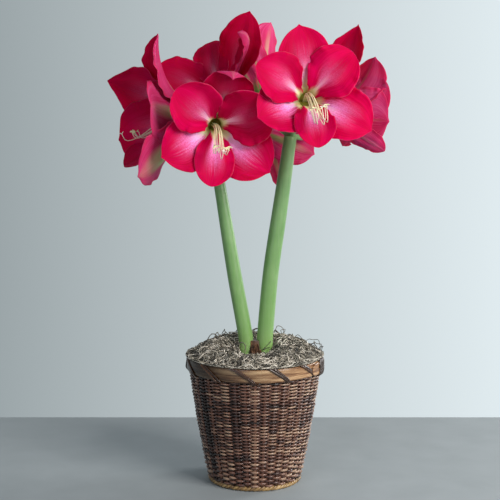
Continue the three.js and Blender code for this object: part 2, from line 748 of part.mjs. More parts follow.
place('basket_wall', basketWall(), WICKER);
place('rim_hoop', rimHoop(), BENT_WOOD);
place('foot_border', footBorder(), CANE);
place('basket_base', basketBase(), WICKER);
place('grow_pot', growPot(), PLASTIC);
place('potting_mix', pottingMix(), MIX);
place('bulb', bulb(sockets.subtract(socketFloor)), BULB_SKIN);
place('moss', moss(growing), MOSS);
for (const [side, scape] of Object.entries(SCAPES)) {
  const umbel = scape.path.at(-1);
  const own = BLOOMS.filter((bloom) => bloom.scape === side);
  place(`scape_${side}`, fuse([stem(scape, 0), ...own.map((bloom) => pedicel(umbel, bloom))]), STALK);
}
for (const bloom of BLOOMS) {
  place(`bloom_${bloom.name}`, bloomSolid(bloom), TEPAL);
  place(`stamens_${bloom.name}`, stamens(bloom), STAMEN);
}

export default part;
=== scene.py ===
# %% [markdown]
# # A potted amaryllis in a woven basket
#
# The plant is two leafless flower stalks, each with four open trumpets, growing from one
# bulb in a nursery pot that stands in a round dark wicker basket. Curly moss dresses the
# basket's mouth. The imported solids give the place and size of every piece. This script puts
# the fine surface on them: veined tepals, a true weave, thousands of moss strands.
#
# Lengths are in millimetres in the text and the tables, and become metres in the meshes.

# %% Load the solids
import math

import bpy
import mathutils
import numpy as np
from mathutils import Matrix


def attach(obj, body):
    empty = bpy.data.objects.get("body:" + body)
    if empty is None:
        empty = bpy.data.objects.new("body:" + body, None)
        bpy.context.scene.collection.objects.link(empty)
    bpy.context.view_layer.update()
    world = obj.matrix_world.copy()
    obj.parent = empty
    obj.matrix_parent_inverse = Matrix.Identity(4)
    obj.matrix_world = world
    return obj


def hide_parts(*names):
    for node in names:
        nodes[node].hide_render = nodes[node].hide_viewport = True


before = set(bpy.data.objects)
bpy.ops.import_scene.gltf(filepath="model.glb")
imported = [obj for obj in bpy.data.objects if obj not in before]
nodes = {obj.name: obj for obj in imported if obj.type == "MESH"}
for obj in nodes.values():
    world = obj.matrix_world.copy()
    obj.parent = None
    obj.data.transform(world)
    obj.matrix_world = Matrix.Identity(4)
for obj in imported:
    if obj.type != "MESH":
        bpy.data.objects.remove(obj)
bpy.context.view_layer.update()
MM = 0.001
# The upward direction, and the factors that take the height out of a direction.
UP = np.array([0.0, 0.0, 1.0])
LEVEL = np.array([1.0, 1.0, 0.0])

# %% [markdown]
# ## Small tools
#
# Every new piece is a surface that numpy works out as one array of points. `build` puts such
# arrays into a mesh: the points, a few blocks of faces with three, four or more corners, a UV
# for each point, and named numbers that the materials read. It turns the whole mesh round if
# its signed volume is negative, so that faces always point outwards.

# %% Mesh from arrays
def signed_volume(points, faces):
    """Sum over fan triangles of a . (b x c) / 6, positive when faces point outwards."""
    total = 0.0
    for block in faces:
        first = points[block[:, 0]]
        for k in range(1, block.shape[1] - 1):
            second, third = points[block[:, k]], points[block[:, k + 1]]
            total += float(np.einsum("ij,ij->", first, np.cross(second, third))) / 6
    return total


def outwards(points, faces):
    """The blocks of faces, each face turned round if the closed part encloses less than 0."""
    turned_in = signed_volume(points, faces) < 0
    return [block[:, ::-1] if turned_in else block for block in faces]


def build(name, points, faces, uv=None, marks=None, smooth=True):
    """Mesh object in metres from points in mm and blocks of face corners."""
    faces = outwards(points, faces)
    corners = np.concatenate([block.ravel() for block in faces])
    sizes = np.concatenate([np.full(len(block), block.shape[1]) for block in faces])
    mesh = bpy.data.meshes.new(name)
    mesh.vertices.add(len(points))
    mesh.vertices.foreach_set("co", np.asarray(points * MM, np.float32).ravel())
    mesh.loops.add(len(corners))
    mesh.loops.foreach_set("vertex_index", corners.astype(np.int32))
    mesh.polygons.add(len(sizes))
    starts = np.concatenate([[0], np.cumsum(sizes)[:-1]])
    mesh.polygons.foreach_set("loop_start", starts.astype(np.int32))
    mesh.polygons.foreach_set("use_smooth", np.full(len(sizes), smooth))
    if uv is not None:
        layer = mesh.uv_layers.new(name="UVMap")
        layer.data.foreach_set("uv", np.asarray(uv[corners], np.float32).ravel())
    for label, values in (marks or {}).items():
        mark = mesh.attributes.new(label, "FLOAT", "POINT")
        mark.data.foreach_set("value", np.asarray(values, np.float32).ravel())
    mesh.update(calc_edges=True)
    mesh.validate()
    piece = bpy.data.objects.new(name, mesh)
    bpy.context.scene.collection.objects.link(piece)
    return piece


def grid_faces(rows, columns, wrap=False):
    """Quads between neighbouring rows and columns of a grid, joined round if wrap."""
    last = columns if wrap else columns - 1
    i, j = np.meshgrid(np.arange(rows - 1), np.arange(last), indexing="ij")
    right = (j + 1) % columns
    this_row, next_row = i * columns, (i + 1) * columns
    quads = np.stack([this_row + j, this_row + right, next_row + right, next_row + j], -1)
    return quads.reshape(-1, 4)


def unit(v):
    """v divided by its length, along the last axis."""
    return v / np.maximum(np.linalg.norm(v, axis=-1, keepdims=True), 1e-9)


def smoothstep(x, low, high):
    """0 below low, 1 above high, and 3k^2 - 2k^3 between."""
    k = np.clip((x - low) / (high - low), 0, 1)
    return k * k * (3 - 2 * k)


def keep(piece, slot, material, *replaced):
    """Gives a piece its material and body, and hides the solids it stands for; slot is not used."""
    piece.data.materials.append(material)
    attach(piece, "root")
    if replaced:
        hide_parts(*replaced)
    triangles = sum(len(p.vertices) - 2 for p in piece.data.polygons)
    print(piece.name, "triangles:", triangles)
    return piece


# %% [markdown]
# Stalks, weavers, canes and moss strands are all rods. `sweep` carries an elliptical section
# along many paths at once. The section's height lies along a reference direction made square
# to the path, so a flat cane can lie flat on the hoop.

# %% Rods along paths
CURVE_STEPS = 400


def sweep(paths, reference, half_width, half_height, sides, closed=False, round_off=1.0, swell=1.0):
    """Rods: path point + width * c * side + height * s * up, for each angle a.

    c and s are cos(a) and sin(a) raised to round_off with their sign kept: 1 gives an
    ellipse, 0.5 a rectangle with round corners. paths is (rods, stations, 3), the sizes
    broadcast to (rods, stations), and up is the reference less its part along the path.
    swell, which broadcasts to (rods, stations, sides), makes the section bigger at an angle.
    Closed rods join their last station to their first; open ones end in flat caps.
    """
    paths = np.asarray(paths, float)
    count, stations, _ = paths.shape
    if closed:
        along = np.roll(paths, -1, axis=1) - np.roll(paths, 1, axis=1)
    else:
        along = np.gradient(paths, axis=1)
    along = unit(along)
    reference = np.broadcast_to(reference, paths.shape)
    up = unit(reference - along * np.sum(reference * along, axis=-1, keepdims=True))
    side = np.cross(along, up)
    angle = np.arange(sides) * 2 * np.pi / sides
    c = np.sign(np.cos(angle)) * np.abs(np.cos(angle)) ** round_off
    s = np.sign(np.sin(angle)) * np.abs(np.sin(angle)) ** round_off
    width = np.broadcast_to(half_width, (count, stations))[..., None, None]
    height = np.broadcast_to(half_height, (count, stations))[..., None, None]
    ring = width * c[:, None] * side[:, :, None] + height * s[:, None] * up[:, :, None]
    swell = np.broadcast_to(swell, (count, stations, sides))[..., None]
    points = (paths[:, :, None] + swell * ring).reshape(-1, 3)
    size = stations * sides
    starts = np.arange(count)[:, None, None] * size
    quads = grid_faces(stations + 1 if closed else stations, sides, wrap=True) % size
    faces = [(starts + quads).reshape(-1, 4)]
    if not closed:
        cap = np.arange(sides)
        ends = np.stack([cap[::-1], size - sides + cap])
        faces.append((starts + ends).reshape(-1, sides))
    return points, faces


def smooth_path(knots, count):
    """Points evenly spaced along a Catmull-Rom curve through the knots.

    Between knots b and c, with a before and d after, the curve is half of
    2b + (c - a)k + (2a - 5b + 4c - d)k^2 + (3b - a - 3c + d)k^3.
    """
    knots = np.asarray(knots, float)
    ends = np.vstack([2 * knots[0] - knots[1], knots, 2 * knots[-1] - knots[-2]])
    place = np.linspace(0, len(knots) - 1, CURVE_STEPS)
    slot = np.minimum(place.astype(int), len(knots) - 2)
    k = (place - slot)[:, None]
    a, b, c, d = (ends[slot + n] for n in range(4))
    square, cube = 2 * a - 5 * b + 4 * c - d, 3 * b - a - 3 * c + d
    fine = 0.5 * (2 * b + (c - a) * k + square * k ** 2 + cube * k ** 3)
    length = np.concatenate([[0], np.cumsum(np.linalg.norm(np.diff(fine, axis=0), axis=1))])
    share = np.linspace(0, length[-1], count)
    return np.stack([np.interp(share, length, fine[:, axis]) for axis in range(3)], axis=1)


# %% [markdown]
# ## Small tools for materials
#
# `linear` turns an sRGB hex colour into the linear numbers that shaders want. `add` puts one
# node in a tree: its own settings by name, and its sockets by name or number, each either a
# value or another node to link. A ramp's stops are pairs of place and colour.

# %% Nodes
def linear(code, alpha=1.0):
    """sRGB hex to linear: c / 12.92 below 0.04045, else ((c + 0.055) / 1.055) ^ 2.4."""
    c = np.array([int(code[k:k + 2], 16) / 255 for k in (1, 3, 5)])
    rgb = np.where(c <= 0.04045, c / 12.92, ((c + 0.055) / 1.055) ** 2.4)
    return (*rgb.tolist(), alpha)


def add(tree, kind, sockets=None, stops=None, **settings):
    """One shader node with its settings, its ramp stops and its sockets set or linked."""
    node = tree.nodes.new("ShaderNode" + kind)
    for name, value in settings.items():
        setattr(node, name, value)
    for key, value in (sockets or {}).items():
        source = value
        if isinstance(value, bpy.types.Node):
            source = next(out for out in value.outputs if out.enabled)
        if isinstance(source, bpy.types.NodeSocket):
            tree.links.new(source, node.inputs[key])
        elif isinstance(value, str):
            node.inputs[key].default_value = linear(value)
        else:
            node.inputs[key].default_value = value
    if stops:
        elements = node.color_ramp.elements
        for k, (place, code) in enumerate(stops):
            element = elements[k] if k < 2 else elements.new(place)
            element.position = place
            element.color = linear(code)
    return node


def new_material(name, **sockets):
    """Material with one Principled shader; sockets are given with _ for a space."""
    material = bpy.data.materials.new(name)
    material.use_nodes = True
    tree = material.node_tree
    tree.nodes.clear()
    shader = add(tree, "BsdfPrincipled", {key.replace("_", " "): value for key, value in sockets.items()})
    add(tree, "OutputMaterial", {"Surface": shader})
    return material, tree, shader


# %% [markdown]
# ## The basket wall
#
# The wall is plain weaving: some seventy thin varnished weavers go in front of one stake and
# behind the next, and each row does the opposite of the row below, which gives the eye
# upright columns of short bright bumps. The weavers are thicker at the foot. A bump map would
# fail at the silhouette, so each weaver is a real rod. Its distance from the axis is the
# wall's radius plus a swing: at each stake six stations take it out to one side and back with a
# rounded top, at the next stake to the other side, and every row starts on the side that the
# row below didn't.

# %% Weavers and stakes
BASKET_HEIGHT = 168.0
RIM_RADIUS = 90.0
HOOP_HEIGHT = 18.0
FOOT_RADIUS = 61.5
FOOT_HEIGHT = 7.0
WALL_TOP_RADIUS = 86.0
WALL_BULGE = 1.5
STAKES = 40
PITCH_AT_FOOT = 3.3
PITCH_ABOVE = 2.15
WEAVE_DEPTH = 1.8
WEAVER_CENTRE = -1.1
WEAVER_HALF_HEIGHT = 0.53
WEAVER_HALF_DEPTH = 0.36
WEAVER_SIDES = 6
FIRST_ROW = FOOT_HEIGHT + 1.2
WEAVE_TOP = BASKET_HEIGHT - 4
STAKE_STEPS = 26
STAKE_SIDES = 8
STAKE_HALF_WIDTH = 2.1
STAKE_HALF_DEPTH = 1.1
OVER_PLACES = np.array([-0.5, -0.36, -0.2, 0.0, 0.2, 0.36])
OVER_SWING = np.array([0.0, 0.6, 0.95, 1.0, 0.95, 0.6])
draw = np.random.default_rng(7)


def wall_radius(z):
    """A cone from the foot to the hoop plus a half sine wave of belly."""
    share = np.clip((z - FOOT_HEIGHT) / (BASKET_HEIGHT - HOOP_HEIGHT - FOOT_HEIGHT), 0, 1)
    return FOOT_RADIUS + (WALL_TOP_RADIUS - FOOT_RADIUS) * share + WALL_BULGE * np.sin(np.pi * share)


def ring_noise(rows, columns, rough):
    """Random rows that repeat round the ring, smoothed by a Gaussian rough columns wide."""
    values = draw.standard_normal((rows, columns))
    away = np.minimum(np.arange(columns), columns - np.arange(columns))
    kernel = np.exp(-0.5 * (away / rough) ** 2)
    smooth = np.fft.irfft(np.fft.rfft(values, axis=1) * np.fft.rfft(kernel), columns, axis=1)
    return smooth / smooth.std()


heights = [FIRST_ROW]
while heights[-1] < WEAVE_TOP:
    thicker = 1 - smoothstep(heights[-1], 12, 60)
    heights.append(heights[-1] + PITCH_ABOVE + (PITCH_AT_FOOT - PITCH_ABOVE) * thicker)
heights = np.array(heights)
pitch = np.gradient(heights)
ROWS = len(heights)
STATIONS = STAKES * len(OVER_PLACES)
stake_number = np.repeat(np.arange(STAKES), len(OVER_PLACES))
turn = (stake_number + np.tile(OVER_PLACES, STAKES)) * 2 * np.pi / STAKES
row = np.arange(ROWS)[:, None]
side = np.where((stake_number + row) % 2 == 0, 1, -1)
over = side * np.tile(OVER_SWING, STAKES)
swing = WEAVE_DEPTH * (1 + 0.16 * ring_noise(ROWS, STATIONS, 3)) * over
level = heights[:, None] + 0.5 * np.sin(2 * turn + 0.8) + 0.16 * ring_noise(ROWS, STATIONS, 4)
radius = wall_radius(level) + WEAVER_CENTRE + swing
radial = np.stack([np.cos(turn), np.sin(turn), 0 * turn], axis=1)
rounds = radius[..., None] * radial + level[..., None] * UP
half_height, half_depth = WEAVER_HALF_HEIGHT * pitch[:, None], WEAVER_HALF_DEPTH * pitch[:, None]
points, faces = sweep(rounds, radial[None], half_height, half_depth, WEAVER_SIDES, closed=True)

# The tone varies by row, along the row, by bump and by stake, and it is paler near the foot. It is
# lighter on a bump in front and darker where the weaver passes behind, a painted highlight and
# painted shade, and darker towards the left, a painted shade of the light from the right.
tone = 0.5 + draw.uniform(-0.16, 0.16, (ROWS, 1)) + 0.1 * ring_noise(ROWS, STATIONS, 18)
tone = tone + 0.11 * draw.standard_normal((ROWS, STAKES))[:, stake_number]
tone = tone + 0.1 * draw.standard_normal(STAKES)[stake_number]
tone = tone + 0.12 * (1 - smoothstep(level, 15, 65))
# Painted highlight and shade: lighter where the weaver is in front, darker behind it and on the left.
tone = tone + 0.2 * over - 0.16 * np.maximum(-np.cos(turn), 0)
weaver_tone_and_shade = np.repeat(tone.ravel(), WEAVER_SIDES)
weavers = build("basket_weavers", points, faces, marks={"tone": weaver_tone_and_shade})

stake_turn = np.arange(STAKES) * 2 * np.pi / STAKES
stake_z = np.linspace(FOOT_HEIGHT - 1, WEAVE_TOP, STAKE_STEPS)
stake_out = np.stack([np.cos(stake_turn), np.sin(stake_turn), 0 * stake_turn], axis=1)[:, None]
upright = (wall_radius(stake_z) + WEAVER_CENTRE)[None, :, None] * stake_out
upright = upright + stake_z[None, :, None] * UP
points, faces = sweep(upright, stake_out, STAKE_HALF_WIDTH, STAKE_HALF_DEPTH, STAKE_SIDES)
stake_tone = np.repeat(draw.uniform(0.2, 0.7, STAKES), STAKE_STEPS * STAKE_SIDES)
stakes = build("basket_stakes", points, faces, marks={"tone": stake_tone})
print("weaver rows:", ROWS, "stakes:", STAKES)

# %% [markdown]
# Wicker is peeled willow or split cane, stained unevenly and varnished: short bright glints on
# every bump, near black in the gaps. The tone written on each weaver picks the stain, and on the
# wall's weavers also a painted highlight on the bumps and painted shade behind them and on the
# left; a noise drawn out along the horizontal gives the rods their grain, and a smooth coat gives
# the glints.
# A weaver is about 2 mm high, so grain lines 0.4 mm apart still show.

# %% Varnished wicker
GRAIN_LINE = 0.4


def wicker_material(name, stops, rough):
    """Stain, with any painted shade that the tone carries, picked by tone and grain; grain is noise drawn
    out into lines GRAIN_LINE mm apart.
    """
    material, tree, shader = new_material(name, Roughness=rough, Coat_Weight=0.4, Coat_Roughness=0.25)
    place = add(tree, "TexCoord").outputs["Object"]
    across = 1 / (GRAIN_LINE * MM)
    squeezed = add(tree, "Mapping", {"Vector": place, "Scale": (0.08 * across, 0.08 * across, across)})
    grain = add(tree, "TexNoise", {"Vector": squeezed, "Scale": 1.0, "Detail": 3.0})
    picked = add(tree, "Attribute", attribute_name="tone").outputs["Fac"]
    shift = add(tree, "Math", {0: grain, 1: 0.5}, operation="SUBTRACT")
    pick = add(tree, "Math", {0: shift, 1: 0.5, 2: picked}, operation="MULTIPLY_ADD")
    stain_and_painted_shade = add(tree, "ValToRGB", {"Fac": pick}, stops=stops)
    tree.links.new(stain_and_painted_shade.outputs["Color"], shader.inputs["Base Color"])
    bump = add(tree, "Bump", {"Height": grain, "Strength": 0.35, "Distance": 0.25 * MM})
    tree.links.new(bump.outputs["Normal"], shader.inputs["Normal"])
    return material


wicker = wicker_material("stained_varnished_wicker", [
    (0.05, "#120b09"), (0.3, "#2e1d18"), (0.5, "#52342a"), (0.72, "#765242"), (0.95, "#a3866f"),
], 0.35)
keep(weavers, "wicker", wicker, "basket_wall")
keep(stakes, "wicker", wicker, "basket_wall")

# %% [markdown]
# ## The rim
#
# A flat band of bent wood, 18 mm high, is clamped outside the top of the wall and tied down
# with pairs of dark cane that cross it on the slant. The band is one closed rod with a nearly
# rectangular section. Each tie is a flat ribbon that comes up inside the rim, goes over the top
# edge, runs down across the band and tucks in under it.

# %% Bent-wood hoop
HOOP_MIDDLE = BASKET_HEIGHT - HOOP_HEIGHT / 2
HOOP_THICKNESS = 2.8
HOOP_RADIUS = RIM_RADIUS - HOOP_THICKNESS / 2
HOOP_STATIONS = 240
around = np.arange(HOOP_STATIONS) * 2 * np.pi / HOOP_STATIONS
spoke = np.stack([np.cos(around), np.sin(around), 0 * around], axis=1)
sag = 0.35 * np.sin(2 * around + 0.5) + 0.25 * np.sin(5 * around)
band_z = HOOP_MIDDLE + sag
band_half = HOOP_HEIGHT / 2 - 0.4 + 0.3 * np.sin(3 * around + 1.2)
band_path = (HOOP_RADIUS + 0.25 * np.sin(4 * around))[:, None] * spoke
band_path[:, 2] = band_z
points, faces = sweep(band_path[None], spoke[None], band_half[None], HOOP_THICKNESS / 2, 20, True, 0.55)
hoop = build("rim_band", points, faces)

# %% Cane ties
TIES = 12
TIE_STEPS = 44
TIE_SIDES = 8
TIE_APART = 1.9
TIE_HALF_WIDTH = 1.7
TIE_HALF_DEPTH = 0.6
FIRST_TIE = math.radians(-98)
# Each knot of a tie: how far it has gone round the rim, its radius and its height.
TIE_KNOTS = np.array([
    (-21, 85.2, 157), (-18.5, 85.6, 165.5), (-16, 87.4, 169.2), (-13.5, 90.6, 168.0),
    (-8.5, 91.0, 164.6), (5, 91.0, 155), (9.5, 90.8, 150.8), (12, 88.0, 148.6), (14.5, 85.0, 150),
])
ribbon = smooth_path(TIE_KNOTS, TIE_STEPS)
tie_paths = []
for k in range(TIES):
    for beside in (-TIE_APART, TIE_APART):
        slant = ribbon[:, 0] * (1 + 0.15 * draw.uniform(-1, 1)) + beside * 1.25
        place = FIRST_TIE + k * 2 * np.pi / TIES + (slant + draw.uniform(-1.5, 1.5)) / RIM_RADIUS
        out = ribbon[:, 1] + 0.2 * draw.uniform(-1, 1)
        tie_paths.append(np.stack([out * np.cos(place), out * np.sin(place), ribbon[:, 2]], axis=1))
tie_paths = np.array(tie_paths)
flat_out = np.linalg.norm(tie_paths[..., :2], axis=-1) - HOOP_RADIUS
facing = unit(tie_paths * LEVEL) * (6 * flat_out)[..., None]
facing = facing + (tie_paths[..., 2:] - HOOP_MIDDLE) * UP
points, faces = sweep(tie_paths, facing, TIE_HALF_WIDTH, TIE_HALF_DEPTH, TIE_SIDES)
tie_tone = np.repeat(draw.uniform(0.25, 0.75, len(tie_paths)), TIE_STEPS * TIE_SIDES)
ties = build("rim_ties", points, faces, marks={"tone": tie_tone})

# %% [markdown]
# At the right the band's two ends lap, and a dark rod wound several times round both holds
# them. The lap is a second, shorter band outside the first.

# %% Lap of the hoop
LAP_MIDDLE = math.radians(-20)
LAP_HALF = math.radians(16)
LAP_RADIUS = 91.0
LAP_HALF_HEIGHT = 8.2
LAP_THICKNESS = 2.4
lap_share = np.linspace(-1, 1, 40)
lap_turn = LAP_MIDDLE + LAP_HALF * lap_share
lap_z = HOOP_MIDDLE + 1.2 * lap_share
lap_path = np.stack([LAP_RADIUS * np.cos(lap_turn), LAP_RADIUS * np.sin(lap_turn), lap_z], axis=1)
lap_spoke = unit(lap_path * LEVEL)
lap_half = LAP_HALF_HEIGHT * np.sqrt(np.clip(1 - lap_share ** 6, 0.02, 1))
points, faces = sweep(lap_path[None], lap_spoke[None], lap_half[None], LAP_THICKNESS / 2, 16, False, 0.6)
lap = build("rim_lap", points, faces)

WINDINGS = 4
STEPS_OF_A_WINDING = 26
WINDING_HALF_WIDTH = 2.1
WINDING_HALF_DEPTH = 1.3
wind = np.linspace(0, WINDINGS * 2 * np.pi, WINDINGS * STEPS_OF_A_WINDING)
box_r = np.sign(np.cos(wind)) * np.abs(np.cos(wind)) ** 0.6
box_z = np.sign(np.sin(wind)) * np.abs(np.sin(wind)) ** 0.6
wind_turn = LAP_MIDDLE + np.linspace(-0.09, 0.09, len(wind)) + 0.035 * box_z
wind_r = RIM_RADIUS - 0.6 + 3.6 * box_r
wind_z = HOOP_MIDDLE + (HOOP_HEIGHT / 2 + 1.3) * box_z
wind_path = np.stack([wind_r * np.cos(wind_turn), wind_r * np.sin(wind_turn), wind_z], axis=1)
wind_out = unit(wind_path * LEVEL) * box_r[:, None] + box_z[:, None] * UP
points, faces = sweep(wind_path[None], wind_out[None], WINDING_HALF_WIDTH, WINDING_HALF_DEPTH, 10)
winding = build("rim_winding", points, faces, marks={"tone": np.full(len(points), 0.3)})

# %% [markdown]
# Bent wood keeps long straight grain and takes the varnish evenly: honey brown with darker
# streaks that run round the band. Light from the right is painted in: a factor that grows from
# left to right multiplies the colour, painted shade on the left and painted light on the right.

# %% Varnished bent wood
def bent_wood_material():
    """Honey brown streaked by two noises drawn out along the band, times a painted shade factor that grows
    from left to right.
    """
    material, tree, shader = new_material(
        "varnished_bent_wood", Roughness=0.34, Coat_Weight=0.3, Coat_Roughness=0.22)
    place = add(tree, "TexCoord").outputs["Object"]
    fine = add(tree, "Mapping", {"Vector": place, "Scale": (30, 30, 1 / (1.5 * MM))})
    broad = add(tree, "Mapping", {"Vector": place, "Scale": (14, 14, 1 / (6 * MM))})
    streak = add(tree, "TexNoise", {"Vector": fine, "Scale": 1.0, "Detail": 4.0})
    cloud = add(tree, "TexNoise", {"Vector": broad, "Scale": 1.0, "Detail": 2.0})
    both = add(tree, "Math", {0: streak, 1: cloud}, operation="ADD")
    pick = add(tree, "MapRange", {0: both, 1: 0.7, 2: 1.3})
    colour = add(tree, "ValToRGB", {"Fac": pick}, stops=[
        (0.0, "#3f2a1a"), (0.35, "#714e31"), (0.65, "#987654"), (1.0, "#c6a67e"),
    ])
    # Painted shade and light: the colour is multiplied by 0.2 at the left, rising to 1.4 at the right.
    left_to_right = add(tree, "SeparateXYZ", {"Vector": place}).outputs["X"]
    stain_and_painted_shade = add(tree, "MapRange", {0: left_to_right, 1: -70 * MM, 2: 75 * MM, 3: 0.2, 4: 1.4})
    colour_in_painted_shade = add(tree, "Mix", {0: 1.0, 6: colour.outputs["Color"], 7: stain_and_painted_shade},
                  data_type="RGBA", blend_type="MULTIPLY")
    tree.links.new(colour_in_painted_shade.outputs[2], shader.inputs["Base Color"])
    bump = add(tree, "Bump", {"Height": streak, "Strength": 0.3, "Distance": 0.3 * MM})
    tree.links.new(bump.outputs["Normal"], shader.inputs["Normal"])
    return material


bent_wood = bent_wood_material()
dark_cane = wicker_material("dark_cane", [(0.1, "#1d110a"), (0.5, "#3b2416"), (0.9, "#6a452b")], 0.34)
keep(hoop, "bent_wood", bent_wood, "rim_hoop")
keep(lap, "bent_wood", bent_wood, "rim_hoop")
keep(ties, "bent_wood", dark_cane, "rim_hoop")
keep(winding, "bent_wood", dark_cane, "rim_hoop")

# %% [markdown]
# ## The foot
#
# The wall ends at the foot in a border of paler cane, three rods twisted like a rope round the
# edge of the base. A rope's strands turn round the rope's middle line, each a third of a turn
# behind the last.

# %% Twisted foot border
STRANDS = 3
TWISTS = 22
FOOT_STEPS = 10 * TWISTS
FOOT_SIDES = 8
FOOT_CANE = 1.85
ROPE_INSET = 2.6
ROPE_RADIUS = 1.9
ROPE_HALF_HEIGHT = 1.75
ROPE_Z = 3.75
foot_turn = np.arange(FOOT_STEPS) * 2 * np.pi / FOOT_STEPS
strand = np.arange(STRANDS)[:, None]
phase = TWISTS * foot_turn + strand * 2 * np.pi / STRANDS
foot_r = FOOT_RADIUS - ROPE_INSET + ROPE_RADIUS * np.cos(phase)
foot_z = ROPE_Z + ROPE_HALF_HEIGHT * np.sin(phase)
foot_path = np.stack([foot_r * np.cos(foot_turn), foot_r * np.sin(foot_turn), foot_z], axis=-1)
foot_out = np.stack([np.cos(foot_turn), np.sin(foot_turn), 0 * foot_turn], axis=1)
points, faces = sweep(foot_path, foot_out[None], FOOT_CANE, FOOT_CANE, FOOT_SIDES, closed=True)
foot_tone = np.clip(0.5 + 0.2 * ring_noise(STRANDS, FOOT_STEPS, 6), 0, 1)
foot_tone = np.repeat(foot_tone.ravel(), FOOT_SIDES)
foot = build("foot_rope", points, faces, marks={"tone": foot_tone})
tan_cane = wicker_material("tan_cane", [
    (0.05, "#4a3520"), (0.4, "#7c5f3c"), (0.7, "#a1824f"), (1.0, "#c0a273"),
], 0.42)
keep(foot, "cane", tan_cane, "foot_border")

# %% [markdown]
# ## The moss
#
# Dried Spanish moss fills the basket's mouth: a low heap of grey, wiry curls. It takes a dark
# lumpy bed that closes the view down into the pot, thousands of thin strands that lie on it in
# two layers, and a few loose wisps. The bed is one closed ring, so the stalks and the bulb's
# neck stand free in its opening. Its height is the formula that shapes the solid, plus tufts.

# %% Bed of moss
POT_TOP = 154.0
MOSS_RADIUS = 81.6
MOSS_HEAP = 24.0
MOSS_DIP = 1.35
MOSS_DIP_Y = -20.0
MOSS_DIP_RADIUS = 40.0
BED_ROWS = 44
BED_COLUMNS = 200


def moss_height(x, y):
    """Rim height plus a flat-topped heap, a dip in front of the stalks and two waves of lumps."""
    share = np.minimum(np.hypot(x, y) / MOSS_RADIUS, 1.03)
    angle = np.arctan2(y, x)
    near = (x ** 2 + (y - MOSS_DIP_Y) ** 2) / MOSS_DIP_RADIUS ** 2
    heap = MOSS_HEAP * (1 - share ** 2.4) * (1 - MOSS_DIP * np.exp(-near))
    lumps = 1.6 * np.sin(3 * angle + 9 * share) + 1.3 * np.sin(7 * angle - 13 * share)
    return BASKET_HEIGHT - 0.5 + heap + lumps * (1 - 0.5 * share)


def tufts(x, y, waves=14):
    """Sum of sine waves of random direction, 9 to 26 mm long, scaled to about 1."""
    turn = draw.uniform(0, 2 * np.pi, waves)
    pace = 2 * np.pi / draw.uniform(9, 26, waves)
    start = draw.uniform(0, 2 * np.pi, waves)
    along = x[..., None] * np.cos(turn) + y[..., None] * np.sin(turn)
    return np.sum(np.sin(along * pace + start), axis=-1) / math.sqrt(waves / 2)


bed_turn = np.arange(BED_COLUMNS) * 2 * np.pi / BED_COLUMNS
c, s = np.cos(bed_turn), np.sin(bed_turn)
collar = np.stack([1 + 23.4 * np.sign(c) * np.abs(c) ** 0.75, 11.6 * np.sign(s) * np.abs(s) ** 0.75], 1)
brim = MOSS_RADIUS * np.stack([c, s], axis=1)
across = np.linspace(0, 1, BED_ROWS)[:, None, None]
flat = collar + (brim - collar) * across
top_z = moss_height(flat[..., 0], flat[..., 1]) + 1.3 * tufts(flat[..., 0], flat[..., 1])
top_z = top_z - 2.5 * (1 - smoothstep(across[..., 0], 0, 0.08)) - 2 * smoothstep(across[..., 0], 0.94, 1)
floor_z = np.full((1, BED_COLUMNS), POT_TOP + 0.4)
bed = np.concatenate([
    np.dstack([collar[None], floor_z]), np.dstack([flat, top_z]), np.dstack([brim[None], floor_z]),
])
bed_faces = grid_faces(len(bed) + 1, BED_COLUMNS, wrap=True) % (len(bed) * BED_COLUMNS)
moss_bed = build("moss_bed", bed.reshape(-1, 3), [bed_faces])

# %% [markdown]
# A strand is a walk of twelve steps whose heading bends steadily and swings to and fro, so it
# curls without ever being straight. All strands are walked at once: the headings are one array
# and cumsum adds the steps up. Each strand rests on the bed's height, is pushed out of the
# stalks, and where it reaches the basket's edge it lies over the hoop.

# %% Curly strands
MOSS_STRANDS = 3800
WISPS = 90
STRAND_STATIONS = 13
STRAND_SIDES = 3
STRANDS_BEGIN = 15.0
STRANDS_EDGE = 84.0
STRANDS_END = 91.0
OVER_THE_HOOP = 169.4
# Middle (x, y) and radius of what the strands are pushed out of: two stalks and the neck.
STALK_FEET = [(-11.6, 0.0, 10.6), (13.4, 0.0, 11.4), (0.0, 0.0, 12.0)]


